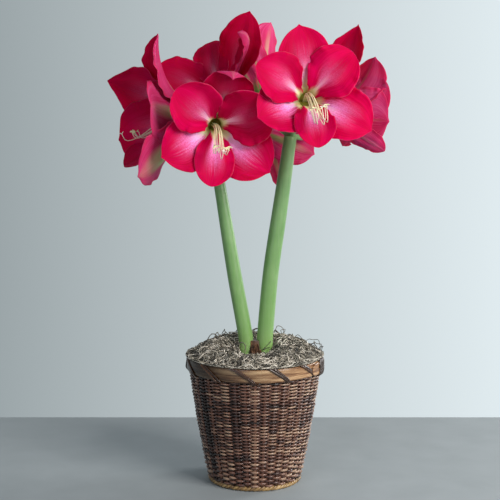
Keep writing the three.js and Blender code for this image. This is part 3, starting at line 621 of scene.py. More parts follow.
def moss_strands(name, count, highest):
    """Three-sided rods along curling walks that lie up to highest mm above the bed."""
    place = draw.uniform(0, 2 * np.pi, (count, 1))
    reach = np.sqrt(draw.uniform(STRANDS_BEGIN ** 2, STRANDS_EDGE ** 2, (count, 1)))
    step = draw.uniform(18, 52, (count, 1)) / (STRAND_STATIONS - 1)
    share = np.linspace(0, 1, STRAND_STATIONS)[None]
    swing = draw.uniform(0.5, 1.3, (count, 1)) * np.sin(
        2 * np.pi * draw.uniform(1, 2.6, (count, 1)) * share + draw.uniform(0, 6.3, (count, 1)))
    heading = draw.uniform(0, 2 * np.pi, (count, 1)) + draw.normal(0, 2.2, (count, 1)) * share + swing
    x = reach * np.cos(place) + np.cumsum(np.cos(heading) * step, axis=1)
    y = reach * np.sin(place) + np.cumsum(np.sin(heading) * step, axis=1)
    away = np.hypot(x, y)
    pull = np.minimum(1, STRANDS_END / away)
    x, y = x * pull, y * pull
    for foot_x, foot_y, clear in STALK_FEET:
        dx, dy = x - foot_x, y - foot_y
        push = np.maximum(1, clear / np.maximum(np.hypot(dx, dy), 1e-3))
        x, y = foot_x + dx * push, foot_y + dy * push
    arch = np.sin(np.pi * share) * draw.uniform(0, highest, (count, 1)) ** 1.4 / highest ** 0.4
    waves = draw.uniform(1.5, 3, (count, 1))
    ripple = 0.9 * np.sin(2 * np.pi * waves * share + draw.uniform(0, 6, (count, 1)))
    z = moss_height(x, y) + draw.uniform(-0.8, 2.2, (count, 1)) + arch + ripple
    over = smoothstep(np.hypot(x, y), STRANDS_EDGE, STRANDS_EDGE + 2.5)
    z = np.where(over > 0, np.maximum(z, OVER_THE_HOOP * over + z * (1 - over)), z)
    thick = draw.uniform(0.4, 0.78, (count, 1)) * (1 - 0.6 * np.abs(2 * share - 1) ** 3)
    points, faces = sweep(np.stack([x, y, z], -1), np.array([0.13, 0.21, 1.0]), thick, thick, STRAND_SIDES)
    tone = draw.uniform(0, 1, (count, 1)) + 0.16 * tufts(x, y)
    strand_tone = np.repeat(np.clip(tone, 0, 1).ravel(), STRAND_SIDES)
    return build(name, points, faces, marks={"tone": strand_tone})


lower_moss = moss_strands("moss_strands_low", MOSS_STRANDS // 2, 3.0)
upper_moss = moss_strands("moss_strands_high", MOSS_STRANDS // 2, 7.0)
wisps = moss_strands("moss_wisps", WISPS, 20.0)

# %% [markdown]
# Dry moss is dull, from warm straw grey to grey brown, with nearly black gaps. The strands take
# their tone from the number written on each, and a noise 3 mm across spots them. The bed below
# and the wisps are the same material in shade, darker and browner.

# %% Dried moss
def moss_material(name, stops):
    """Tone plus a 3 mm noise picks the grey; the same noise at 0.8 mm roughens it."""
    material, tree, shader = new_material(name, Roughness=0.9, Sheen_Weight=0.15, Sheen_Roughness=0.6)
    place = add(tree, "TexCoord").outputs["Object"]
    spots = add(tree, "TexNoise", {"Vector": place, "Scale": 1 / (3 * MM), "Detail": 3.0})
    picked = add(tree, "Attribute", attribute_name="tone").outputs["Fac"]
    shift = add(tree, "Math", {0: spots, 1: 0.5}, operation="SUBTRACT")
    pick = add(tree, "Math", {0: shift, 1: 0.9, 2: picked}, operation="MULTIPLY_ADD")
    colour = add(tree, "ValToRGB", {"Fac": pick}, stops=stops)
    tree.links.new(colour.outputs["Color"], shader.inputs["Base Color"])
    fibres = add(tree, "TexNoise", {"Vector": place, "Scale": 1 / (0.8 * MM), "Detail": 2.0})
    bump = add(tree, "Bump", {"Height": fibres, "Strength": 0.5, "Distance": 0.4 * MM})
    tree.links.new(bump.outputs["Normal"], shader.inputs["Normal"])
    return material


strand_moss = moss_material("dried_spanish_moss", [
    (0.02, "#36322a"), (0.3, "#6d6758"), (0.6, "#aba493"), (0.95, "#e8e1d3"),
])
bed_moss = moss_material("moss_in_shade", [(0.0, "#2a261e"), (0.5, "#4a4437"), (1.0, "#6a6353")])
keep(moss_bed, "moss", bed_moss, "moss")
keep(lower_moss, "moss", strand_moss, "moss")
keep(upper_moss, "moss", strand_moss, "moss")
keep(wisps, "moss", bed_moss, "moss")

# %% [markdown]
# ## Thin sheets
#
# Tepals and the bulb's papery skins are both thin curved sheets. `thin_sheet` takes the sheet's
# middle surface as a grid of points, works out the normals from the grid's own slopes, and
# puts one face half a thickness above and one below. The second face runs back the other way,
# so each row of the grid is a closed ring and the sheet has no open edge.

# %% Sheet from its middle surface
def thin_sheet(middle, thickness):
    """Points middle +- thickness / 2 * normal, rings of 2 * columns, closed at both ends."""
    rows, columns, _ = middle.shape
    normal = unit(np.cross(np.gradient(middle, axis=0), np.gradient(middle, axis=1)))
    half = (thickness / 2)[..., None] * normal
    points = np.concatenate([middle + half, (middle - half)[:, ::-1]], axis=1).reshape(-1, 3)
    sides = 2 * columns
    k = np.arange(columns - 1)
    start = np.stack([k + 1, k, sides - 1 - k, sides - 2 - k], axis=1)
    end = start[:, ::-1] + (rows - 1) * sides
    return points, [np.concatenate([grid_faces(rows, sides, wrap=True), start, end])]


def gather(parts):
    """One list of points and faces from several closed parts, each with its faces outwards."""
    first = np.cumsum([0] + [len(points) for points, _ in parts])
    points = np.concatenate([part[0] for part in parts])
    faces = [block + first[k] for k, part in enumerate(parts) for block in outwards(*part)]
    return points, faces


# %% [markdown]
# ## The bulb's neck
#
# The bulb itself sits in the mix, and only the top of its neck shows, as dry brown skins between
# the stalks. The solid bulb stays. These skins are bent sheets that stand round it, each an arc
# of a cone with a torn top edge.

# %% Papery skins
# Each skin: the middle of its arc and its spread in degrees, its radius and the height of its top.
SKINS = [
    (-80, 34, 11.8, 184), (-98, 24, 12.9, 180), (-62, 22, 13.4, 178), (88, 44, 12.0, 186),
    (112, 30, 13.2, 182),
]
SKIN_FOOT = 168.0
SKIN_THICKNESS = 0.35
skin_parts = []
for middle_deg, spread_deg, skin_radius, skin_top in SKINS:
    rise = np.linspace(0, 1, 14)[:, None]
    sweep_turn = np.radians(middle_deg + spread_deg * np.linspace(-0.5, 0.5, 15))[None]
    torn = skin_top + 2.2 * np.sin(9 * sweep_turn + middle_deg) + 1.4 * np.sin(23 * sweep_turn)
    skin_z = SKIN_FOOT + (torn - SKIN_FOOT) * rise
    flare = skin_radius - 0.6 * rise + 2.4 * rise ** 3 + 0.5 * np.sin(14 * sweep_turn + 5 * rise)
    surface = np.stack([flare * np.cos(sweep_turn), flare * np.sin(sweep_turn), skin_z], axis=-1)
    skin_parts.append(thin_sheet(surface, np.full(surface.shape[:2], SKIN_THICKNESS)))
points, faces = gather(skin_parts)
skins = build("bulb_skins", points, faces)

# %% [markdown]
# A bulb's outer skin is dead, dry and shiny in places, chestnut brown with darker lines that
# run from root to tip, about 1.5 mm apart.

# %% Dry bulb skin
def bulb_skin_material():
    """Chestnut streaked by a noise drawn out along the bulb's height."""
    material, tree, shader = new_material("dry_bulb_skin", Roughness=0.55, Sheen_Weight=0.1)
    place = add(tree, "TexCoord").outputs["Object"]
    squeezed = add(tree, "Mapping", {"Vector": place, "Scale": (1 / (1.5 * MM), 1 / (1.5 * MM), 30)})
    streak = add(tree, "TexNoise", {"Vector": squeezed, "Scale": 1.0, "Detail": 4.0})
    colour = add(tree, "ValToRGB", {"Fac": streak}, stops=[
        (0.3, "#2a190f"), (0.5, "#50331f"), (0.62, "#6f4b2f"), (0.75, "#9a7650"),
    ])
    tree.links.new(colour.outputs["Color"], shader.inputs["Base Color"])
    bump = add(tree, "Bump", {"Height": streak, "Strength": 0.4, "Distance": 0.4 * MM})
    tree.links.new(bump.outputs["Normal"], shader.inputs["Normal"])
    return material


bulb_skin = bulb_skin_material()
keep(skins, "bulb_skin", bulb_skin)

# %% [markdown]
# ## The blooms' table
#
# Each bloom has a throat, a direction it faces and six tepals, three outer and three inner. A
# tepal is given by its roll round the bloom's axis, its length, its width and three headings:
# how far its midrib has turned away from the axis at the claw, half way and at the tip. The
# numbers are those of the solids, so the fine blades lie where the plain ones are.
#
# A layer of tepals shares the rest. Cup, twist and hook are degrees of bend across, along and at
# the tip; broadest, roundness, pointing, claw and slow shape the outline; inset lifts the blade
# towards the inside. Three more are for the colour: blush says how strongly the middle is
# blushed with white, the painted shade mark how far the crimson is darkened as painted shade
# where a tepal lies in shade, and stripe how broad the stripe behind is.
#
# A bloom's own painted shade mark and stripe hold for all its tepals, and its painted shade
# also dims their blush. Its sag, dip and reach are for the stamens: which way they sink, how
# far they sink and how far out they reach.

# %% Blooms
OUTER = dict(cup=18, twist=0, hook=0, hook_from=0.86, broadest=0.58, roundness=2.6, pointing=0.66,
             inset=-1.5, claw=0.34, slow=0.85, blush=0.35, deep=0.2, stripe=1.0)
INNER = dict(OUTER, inset=1.5, claw=0.18, slow=1.2)


def tepal(roll, length, width, headings, layer=OUTER):
    """Sizes of one tepal in mm and degrees, added to its layer's values."""
    return dict(layer, roll=roll, length=length, width=width, headings=headings)


def changed(layer, **more):
    """A layer's values with some of them changed."""
    return dict(layer, **more)


BROAD_INNER = changed(INNER, roundness=3, pointing=0.6, cup=30)
FULL_OUTER = changed(OUTER, broadest=0.49, blush=1.0)
BLOOMS = [
    dict(name="front_left", throat=(-49, -62, 471), faces=(-80, -8), sag=262, dip=1.15, tepals=[
        tepal(80, 100, 74, (20, 63, 85), changed(
            OUTER, cup=26, hook=-150, hook_from=0.74, broadest=0.48, roundness=2.1, pointing=0.7,
            inset=-2.6, blush=0.1, deep=0.6)),
        tepal(205, 89, 72, (20, 56, 91), FULL_OUTER),
        tepal(320, 94, 76, (20, 55, 91), FULL_OUTER),
        tepal(137, 86, 66, (18, 55, 94), changed(BROAD_INNER, inset=4.2)),
        tepal(262, 84, 52, (18, 51, 88), changed(INNER, blush=0.9)),
        tepal(27, 86, 74, (18, 47, 80), changed(BROAD_INNER, inset=2.6, blush=0.15, deep=0.4)),
    ]),
    dict(name="front_right", throat=(64, -66, 505), faces=(-84, 14), sag=279, dip=2.1, reach=0.94, tepals=[
        tepal(99, 95, 66, (20, 55, 90), changed(OUTER, roundness=2.3, pointing=0.7)),
        tepal(326, 98, 74, (20, 61, 99), changed(FULL_OUTER, deep=0.05)),
        tepal(206, 83, 74, (20, 55, 90), FULL_OUTER),
        tepal(154, 88, 64, (18, 52, 90), changed(INNER, roundness=2.2, pointing=0.75)),
        tepal(276, 82, 52, (18, 54, 92), changed(INNER, blush=0.9)),
        tepal(42, 85, 66, (17, 50, 94), changed(INNER, deep=0)),
    ]),
    dict(name="far_left", throat=(-88, -24, 480), faces=(-162, -3), deep=0.45, tepals=[
        tepal(80, 116, 68, (30, 64, 99), changed(OUTER, cup=52, broadest=0.5)),
        tepal(200, 109, 84, (20, 34, 57)),
        tepal(306, 115, 90, (37, 46, 36), changed(OUTER, cup=20, twist=22, stripe=2.2)),
        tepal(140, 123, 92, (40, 47, 26), changed(INNER, roundness=1.5, pointing=0.95)),
        tepal(255, 106, 80, (30, 26, 35), INNER),
        tepal(16, 98, 84, (26, 38, 62), changed(INNER, cup=24)),
    ]),
    dict(name="top_left", throat=(-43, 10, 505), faces=(-128, 52), reach=0.36, dip=0.4, deep=0.6, tepals=[
        tepal(62, 119, 64, (34, 40, 44), changed(
            OUTER, broadest=0.52, roundness=2.1, pointing=0.65, twist=60)),
        tepal(186, 103, 66, (20, 48, 71)),
        tepal(310, 82, 50, (10, 40, 70)),
        tepal(123, 97, 50, (12, 62, 91), INNER),
        tepal(250, 60, 44, (10, 40, 60), INNER),
        tepal(32, 120, 46, (26, 50, 44), changed(INNER, cup=36, hook=-130, hook_from=0.72)),
    ]),
    dict(name="rear_left", throat=(10, 28, 461), faces=(50, -16), tepals=[
        tepal(90, 86, 54, (10, 40, 68)),
        tepal(197, 80, 54, (10, 37, 63)),
        tepal(330, 86, 54, (10, 40, 68)),
        tepal(150, 82, 44, (10, 38, 64), INNER),
        tepal(261, 87, 38, (10, 48, 78), INNER),
        tepal(30, 82, 44, (10, 38, 64), INNER),
    ]),
    dict(name="far_right", throat=(106, 0, 486), faces=(38, -3), reach=0.8, deep=0.26, stripe=0.4, tepals=[
        tepal(189, 72, 84, (18, 36, 66), changed(OUTER, cup=24)),
        tepal(103, 96, 70, (12, 50, 84)),
        tepal(300, 64, 40, (10, 40, 70)),
        tepal(136, 80, 66, (14, 44, 72), INNER),
        tepal(228, 82, 34, (46, 45, 38), INNER),
        tepal(0, 82, 44, (10, 44, 76), INNER),
    ]),
    dict(name="top_right", throat=(100, 34, 506), faces=(20, 80), reach=0.55, dip=0.4, deep=0.28, tepals=[
        tepal(291, 115, 72, (8, 8, 14), changed(OUTER, cup=30, broadest=0.5, roundness=1.9, pointing=0.8)),
        tepal(51, 86, 50, (8, 34, 56)),
        tepal(171, 76, 46, (8, 30, 46)),
        tepal(351, 86, 44, (8, 34, 60), INNER),
        tepal(111, 80, 42, (8, 30, 50), INNER),
        tepal(231, 66, 34, (6, 10, 16), INNER),
    ]),
    dict(name="rear_right", throat=(6, 46, 519), faces=(104, 48), reach=0.6, dip=0.4, tepals=[
        tepal(132, 108, 58, (6, 15, 29)),
        tepal(254, 84, 44, (6, 26, 44)),
        tepal(14, 84, 44, (6, 26, 44)),
        tepal(194, 84, 38, (6, 24, 40), INNER),
        tepal(314, 82, 34, (6, 24, 40), INNER),
        tepal(74, 82, 38, (6, 24, 40), INNER),
    ]),
]


def axes(faces):
    """A bloom's axis from azimuth and elevation, and e1 sideways and e2 upwards across it."""
    azimuth, elevation = np.radians(faces)
    flat = np.cos(elevation)
    axis = np.array([np.cos(azimuth) * flat, np.sin(azimuth) * flat, np.sin(elevation)])
    up = unit(UP - axis * axis[2])
    return axis, np.cross(up, axis), up


for bloom in BLOOMS:
    bloom["throat"] = np.array(bloom["throat"], float)
    bloom["axes"] = axes(bloom["faces"])
print("blooms:", len(BLOOMS), "tepals:", sum(len(bloom["tepals"]) for bloom in BLOOMS))

# %% [markdown]
# ## The scapes
#
# An amaryllis stands on scapes: stout, hollow, leafless stalks, slightly oval and waxy, each
# with four short pedicels at its top. A pedicel swells into the three-lobed ovary just behind
# its bloom. All are rods along smooth paths, and the ovary's lobes are a cosine of three times
# the angle that makes the section bigger there.

# %% Stalks with their pedicels
SCAPES = {
    "left": ([
        (-11, 0, 154.6), (-11, 0, 176), (-13.5, 0, 200), (-27, 0, 277), (-45, 0, 388), (-54, 0, 436),
    ], (9.6, 9.5, 9.2, 8.5, 7.6, 6.8)),
    "right": ([
        (13, 0, 154.6), (13, 0, 176), (14, 0, 200), (21, 0, 277), (32, 0, 355), (46, 0, 456),
    ], (10.3, 10.3, 10.1, 9.9, 9.1, 8.0)),
}
STALK_BLOOMS = {
    "left": ("front_left", "far_left", "top_left", "rear_left"),
    "right": ("front_right", "far_right", "top_right", "rear_right"),
}
STALK_STEPS = 90
STALK_SIDES = 36
PEDICEL_STEPS = 26
PEDICEL_SIDES = 20
OVARY_LOBES = 0.12
TUBE_BACK = -26.0
PEDICEL_GAP = 0.3
OVARY_LENGTH = 12.0
PEDICEL_RADII = (3.5, 3.5, 3.5, 5.2, 4.4)
by_name = {bloom["name"]: bloom for bloom in BLOOMS}


def stalk_rod(knots, radii, stations, sides, lobes=0.0):
    """Rod along a smooth path; lobes swells the section by cos 3a where the ovary is."""
    path = smooth_path(knots, stations)
    share = np.linspace(0, 1, stations)
    radius = np.interp(share * (len(radii) - 1), np.arange(len(radii)), radii)
    angle = np.arange(sides) * 2 * np.pi / sides
    ovary = np.exp(-(((share - 0.78) / 0.12) ** 2))[:, None]
    swell = 1 + lobes * ovary * np.cos(3 * angle) + 0.012 * np.sin(5 * angle + 7 * share[:, None])
    reference = np.array([0.2, -1.0, 0.1])
    return sweep(path[None], reference, 1.03 * radius[None], 0.98 * radius[None], sides, swell=swell[None])


stalks = []
for name, (knots, radii) in SCAPES.items():
    parts = [stalk_rod(knots, radii, STALK_STEPS, STALK_SIDES)]
    umbel = np.array(knots[-1], float)
    for bloom in (by_name[label] for label in STALK_BLOOMS[name]):
        axis = bloom["axes"][0]
        front = bloom["throat"] + (TUBE_BACK - PEDICEL_GAP) * axis
        back = front - OVARY_LENGTH * axis
        waist = front - OVARY_LENGTH / 2 * axis
        middle = (back + umbel) / 2 - 0.12 * np.linalg.norm(umbel - back) * axis
        pedicel = [umbel, middle, back, waist, front]
        parts.append(stalk_rod(pedicel, PEDICEL_RADII, PEDICEL_STEPS, PEDICEL_SIDES, OVARY_LOBES))
    points, faces = gather(parts)
    stalks.append(build("scape_" + name + "_skin", points, faces))

# %% [markdown]
# The stalks are smooth and waxy: fresh green, yellower near the bulb, with a grey bloom higher
# up and very faint lines along them, 1.2 mm apart. A little subsurface scattering keeps the
# green bright on the shaded side, as wet tissue does.

# %% Waxy stalk
def stalk_material():
    """Green by height from the moss to the umbel, streaked by a noise drawn out along it."""
    material, tree, shader = new_material(
        "waxy_green_stalk", Roughness=0.4, Subsurface_Weight=0.12, Subsurface_Radius=(0.6, 1.0, 0.3),
        Subsurface_Scale=2.5 * MM, Coat_Weight=0.12, Coat_Roughness=0.3)
    place = add(tree, "TexCoord").outputs["Object"]
    height = add(tree, "SeparateXYZ", {"Vector": place}).outputs["Z"]
    share = add(tree, "MapRange", {0: height, 1: 0.17, 2: 0.47})
    green = add(tree, "ValToRGB", {"Fac": share}, stops=[
        (0.0, "#7da256"), (0.12, "#739e56"), (0.4, "#679352"), (0.75, "#638f57"), (1.0, "#7a9f67"),
    ])
    squeezed = add(tree, "Mapping", {"Vector": place, "Scale": (1 / (1.2 * MM), 1 / (1.2 * MM), 12)})
    streak = add(tree, "TexNoise", {"Vector": squeezed, "Scale": 1.0, "Detail": 3.0})
    cloud = add(tree, "TexNoise", {"Vector": place, "Scale": 1 / (22 * MM), "Detail": 2.0})
    both = add(tree, "Math", {0: streak, 1: cloud}, operation="ADD")
    weight = add(tree, "MapRange", {0: both, 1: 0.7, 2: 1.3, 3: 0.0, 4: 0.4})
    skin = add(tree, "Mix", {0: weight, 6: green.outputs["Color"], 7: "#8fb079"}, data_type="RGBA")
    tree.links.new(skin.outputs[2], shader.inputs["Base Color"])
    bump = add(tree, "Bump", {"Height": streak, "Strength": 0.12, "Distance": 0.3 * MM})
    tree.links.new(bump.outputs["Normal"], shader.inputs["Normal"])
    return material


stalk = stalk_material()
for piece, name in zip(stalks, SCAPES):
    keep(piece, "stalk", stalk, "scape_" + name)

# %% [markdown]
# ## The tepals
#
# A tepal is a soft blade: narrow at the claw, broadest past its middle and blunt at the tip,
# arched across like a trough, with a groove along the midrib and a frilled edge. The formula of
# the solids gives its midrib, outline, cupping and long waves. Here the same surface gets 50
# rows and 27 columns, and what a plain solid can't carry: shallow pleats along the veins, a
# fine ruffle that grows towards the margin, a keel behind the midrib and a small hooked point.
# The UV map runs across and along the blade, so that veins can follow it.

# %% Blade of a tepal
ROWS_OF_BLADE = 50
COLUMNS_OF_BLADE = 27
EDGE_THICKNESS = 0.32
BODY_THICKNESS = 0.45
KEEL_THICKNESS = 0.9
POINT_LENGTH = 2.2
POINT_HOOK = 1.2
EDGE_WAVE = 2.2
MIDRIB_GROOVE = 1.6
RUFFLE = 1.1
PLEAT = 0.22
FOLD = 1.0
MIDRIB_STEPS = 60
CLAW_BACK = 12.0
CLAW_OUT = 7.5


def outline(s, leaf):
    """Half width as a share of the greatest: cosine rise from the claw, power fall to the tip."""
    climb = np.minimum(s / leaf["broadest"], 1) ** leaf["slow"]
    rise = leaf["claw"] + (1 - leaf["claw"]) * (1 - np.cos(np.pi * climb)) / 2
    past = np.maximum((s - leaf["broadest"]) / (1 - leaf["broadest"]), 0)
    return rise * (1 - past ** leaf["roundness"]) ** leaf["pointing"]


def heading(s, leaf):
    """Even bend through the three headings, plus the hook beyond its start, in radians."""
    near, mid, far = np.radians(leaf["headings"])
    hooked = np.clip((s - leaf["hook_from"]) / (1 - leaf["hook_from"]), 0, 1) ** 1.3
    return near * (1 - s) ** 2 + 2 * mid * s * (1 - s) + far * s * s + math.radians(leaf["hook"]) * hooked


def blade(bloom, leaf):
    """Middle surface and thickness: midrib + sideways arc + lift along the inner normal.

    Across the midrib the blade is an arc, a funnel at the claw and the tepal's own cup
    further out. The lift adds waves, ruffle and pleats, and takes the groove away.
    """
    axis, e1, e2 = bloom["axes"]
    roll = math.radians(leaf["roll"])
    outward = math.cos(roll) * e1 + math.sin(roll) * e2
    sideways = np.cross(axis, outward)
    turn = heading((np.arange(MIDRIB_STEPS) + 0.5) / MIDRIB_STEPS, leaf)
    walk = np.cos(turn)[:, None] * axis + np.sin(turn)[:, None] * outward
    claw = bloom["throat"] - CLAW_BACK * axis + CLAW_OUT * outward
    midrib = claw + np.vstack([np.zeros(3), np.cumsum(walk, axis=0)]) * leaf["length"] / MIDRIB_STEPS
    s = 1 - (1 - np.linspace(0, 0.995, ROWS_OF_BLADE)) ** 1.6
    t = np.linspace(-1, 1, COLUMNS_OF_BLADE)[None]
    marks = np.arange(MIDRIB_STEPS + 1) / MIDRIB_STEPS
    centre = np.stack([np.interp(s, marks, midrib[:, k]) for k in range(3)], axis=1)
    turn = heading(s, leaf)
    inner = np.sin(turn)[:, None] * axis - np.cos(turn)[:, None] * outward
    lean = (math.radians(leaf["twist"]) * s ** 1.5)[:, None]
    aside = np.cos(lean) * sideways + np.sin(lean) * inner
    normal = np.cos(lean) * inner - np.sin(lean) * sideways
    half = leaf["width"] / 2 * outline(s, leaf)
    spoke = centre - bloom["throat"]
    spoke = spoke - (spoke @ axis)[:, None] * axis
    funnel = np.clip(half * np.cos(turn) / np.maximum(np.linalg.norm(spoke, axis=1), 3), -1.2, 1.25)
    bend = smoothstep(s, 0.12, 0.62)
    arc = (funnel + (math.radians(leaf["cup"]) - funnel) * bend)[:, None]
    s, half = s[:, None], half[:, None]
    wide = half * np.sin(arc * t) / arc
    lift = half * (1 - np.cos(arc * t)) / arc
    swell = np.maximum(np.sin(np.pi * np.minimum(1.02 * s, 1)), 0)
    wave = np.sin(2 * np.pi * (2.3 * s + 0.2 + 0.37 * (t > 0)))
    lift = lift + EDGE_WAVE * swell ** 0.8 * np.abs(t) ** 2.5 * wave
    phase = draw.uniform(0, 1, (3, 2))
    uneven = np.sin(2 * np.pi * (1.7 * s + phase[2, 0]))
    uneven = uneven + 0.6 * np.sin(2 * np.pi * (4.1 * s + phase[2, 1]) + t)
    wide = wide * (1 + 0.03 * swell * uneven)
    first = np.sin(2 * np.pi * (6.1 * s + np.where(t > 0, phase[0, 0], phase[0, 1])))
    second = np.sin(2 * np.pi * (9.7 * s + np.where(t > 0, phase[1, 0], phase[1, 1])))
    lift = lift + RUFFLE * swell ** 0.5 * np.abs(t) ** 5 * (first + 0.6 * second)
    lift = lift + PLEAT * swell * (1 - t ** 4) * np.cos(2 * np.pi * 4.5 * t)
    lift = lift + FOLD * swell * np.sin(2 * np.pi * (1.15 * t + phase[2, 0] + 0.3 * s))
    lift = lift - MIDRIB_GROOVE * np.clip(4 * s, 0, 1) * (1 - s ** 3) * np.exp(-((t / 0.16) ** 2))
    lift = lift + leaf["inset"] * np.clip(6 * s, 0, 1)
    point = np.exp(-(1 - s) / 0.004) * (leaf["inset"] < 0)
    tip_way = np.cos(turn[-1]) * axis + np.sin(turn[-1]) * outward
    middle = centre[:, None] + wide[..., None] * aside[:, None] + lift[..., None] * normal[:, None]
    middle = middle + point[..., None] * (POINT_LENGTH * tip_way + POINT_HOOK * normal[-1])
    keel = KEEL_THICKNESS * (1 - s) ** 0.8 * np.exp(-((t / 0.1) ** 2))
    thickness = EDGE_THICKNESS + BODY_THICKNESS * (1 - np.abs(t)) + keel
    return middle, thickness * np.ones_like(wide), s + 0 * t, t + 0 * s


# %% [markdown]
# Behind its throat a bloom narrows to a short green tube that the six claws grow from. It is a
# profile turned about the bloom's axis: up the outside, over the lip and down into the cup.

# %% Bloom from blades and tube
TUBE_PROFILE = np.array([
    (-26.0, 0.3), (-26.0, 3.0), (-25.4, 4.4), (-22.0, 5.2), (-18.0, 6.2), (-14.0, 7.6), (-11.0, 8.5),
    (-10.0, 8.6), (-9.8, 7.8), (-10.8, 6.8), (-11.8, 5.4), (-12.4, 3.6), (-12.7, 1.5), (-12.8, 0.3),
])
TUBE_SIDES = 36


def tube(bloom):
    """Profile turned about the axis, slightly three-sided, closed by a small face at each end."""
    axis, e1, e2 = bloom["axes"]
    angle = np.arange(TUBE_SIDES) * 2 * np.pi / TUBE_SIDES
    spoke = np.cos(angle)[:, None] * e1 + np.sin(angle)[:, None] * e2
    radius = TUBE_PROFILE[:, 1:] * (1 + 0.03 * np.cos(6 * angle))
    centre = bloom["throat"] + TUBE_PROFILE[:, :1] * axis
    points = centre[:, None] + radius[..., None] * spoke
    rows = len(TUBE_PROFILE)
    cap = np.arange(TUBE_SIDES)
    caps = np.stack([cap[::-1], (rows - 1) * TUBE_SIDES + cap])
    return points.reshape(-1, 3), [grid_faces(rows, TUBE_SIDES, wrap=True), caps]


def bloom_piece(bloom):
    """Six blades and the tube in one mesh, with its UVs and the five marks that the shader reads."""
    points, faces = tube(bloom)
    parts = [(points, faces)]
    inside = np.repeat(np.arange(len(TUBE_PROFILE)) > 7, TUBE_SIDES).astype(float)
    uv = [np.stack([np.full(len(points), 0.5), 0.02 * inside], axis=1)]
    plain = 0 * inside
    marks = {
        "inner": [inside], "blush": [plain], "deep": [plain], "stripe": [plain + 1],
        "tone": [plain + 0.5],
    }
    # A bloom's painted shade is the least painted shade of each of its tepals, and it dims their blush.
    bloom_deep = bloom.get("deep", 0)
    for leaf in bloom["tepals"]:
        middle, thickness, s, t = blade(bloom, leaf)
        parts.append(thin_sheet(middle, thickness))
        both_s = np.concatenate([s, s[:, ::-1]], axis=1)
        both_t = np.concatenate([t, t[:, ::-1]], axis=1)
        face = np.concatenate([np.ones_like(s), np.zeros_like(s)], axis=1)
        uv.append(np.stack([(both_t.ravel() + 1) / 2, both_s.ravel()], axis=1))
        marks["inner"].append(face.ravel())
        marks["blush"].append(np.full(face.size, leaf["blush"] * (1 - bloom_deep)))
        marks["deep"].append(np.full(face.size, max(leaf["deep"], bloom_deep)))
        marks["stripe"].append(np.full(face.size, leaf["stripe"] * bloom.get("stripe", 1)))
        marks["tone"].append(np.full(face.size, draw.uniform(0.3, 0.7)))
    points, faces = gather(parts)
    marks = {label: np.concatenate(values) for label, values in marks.items()}
    return build("tepals_" + bloom["name"], points, faces, uv=np.concatenate(uv), marks=marks)


bloom_pieces = [bloom_piece(bloom) for bloom in BLOOMS]

# %% [markdown]
# A tepal's face is velvety crimson pink, streaked along its veins, with a white ray up the lower
# midrib, a blush of fine white dots beside it and a yellow-green throat. Its back is paler and
# duller, with a broad green-white stripe behind the midrib. One shader does both: the mark
# "inner" picks the face, the UV map says how far along and across the blade a point is, and
# subsurface scattering gives the glow of a petal with light behind it. The noise of the veins
# also frays the edges of the ray, the blush and the throat. Real veins are 1 mm apart, under
# a pixel in the render, so they are drawn about 2.5 mm apart.

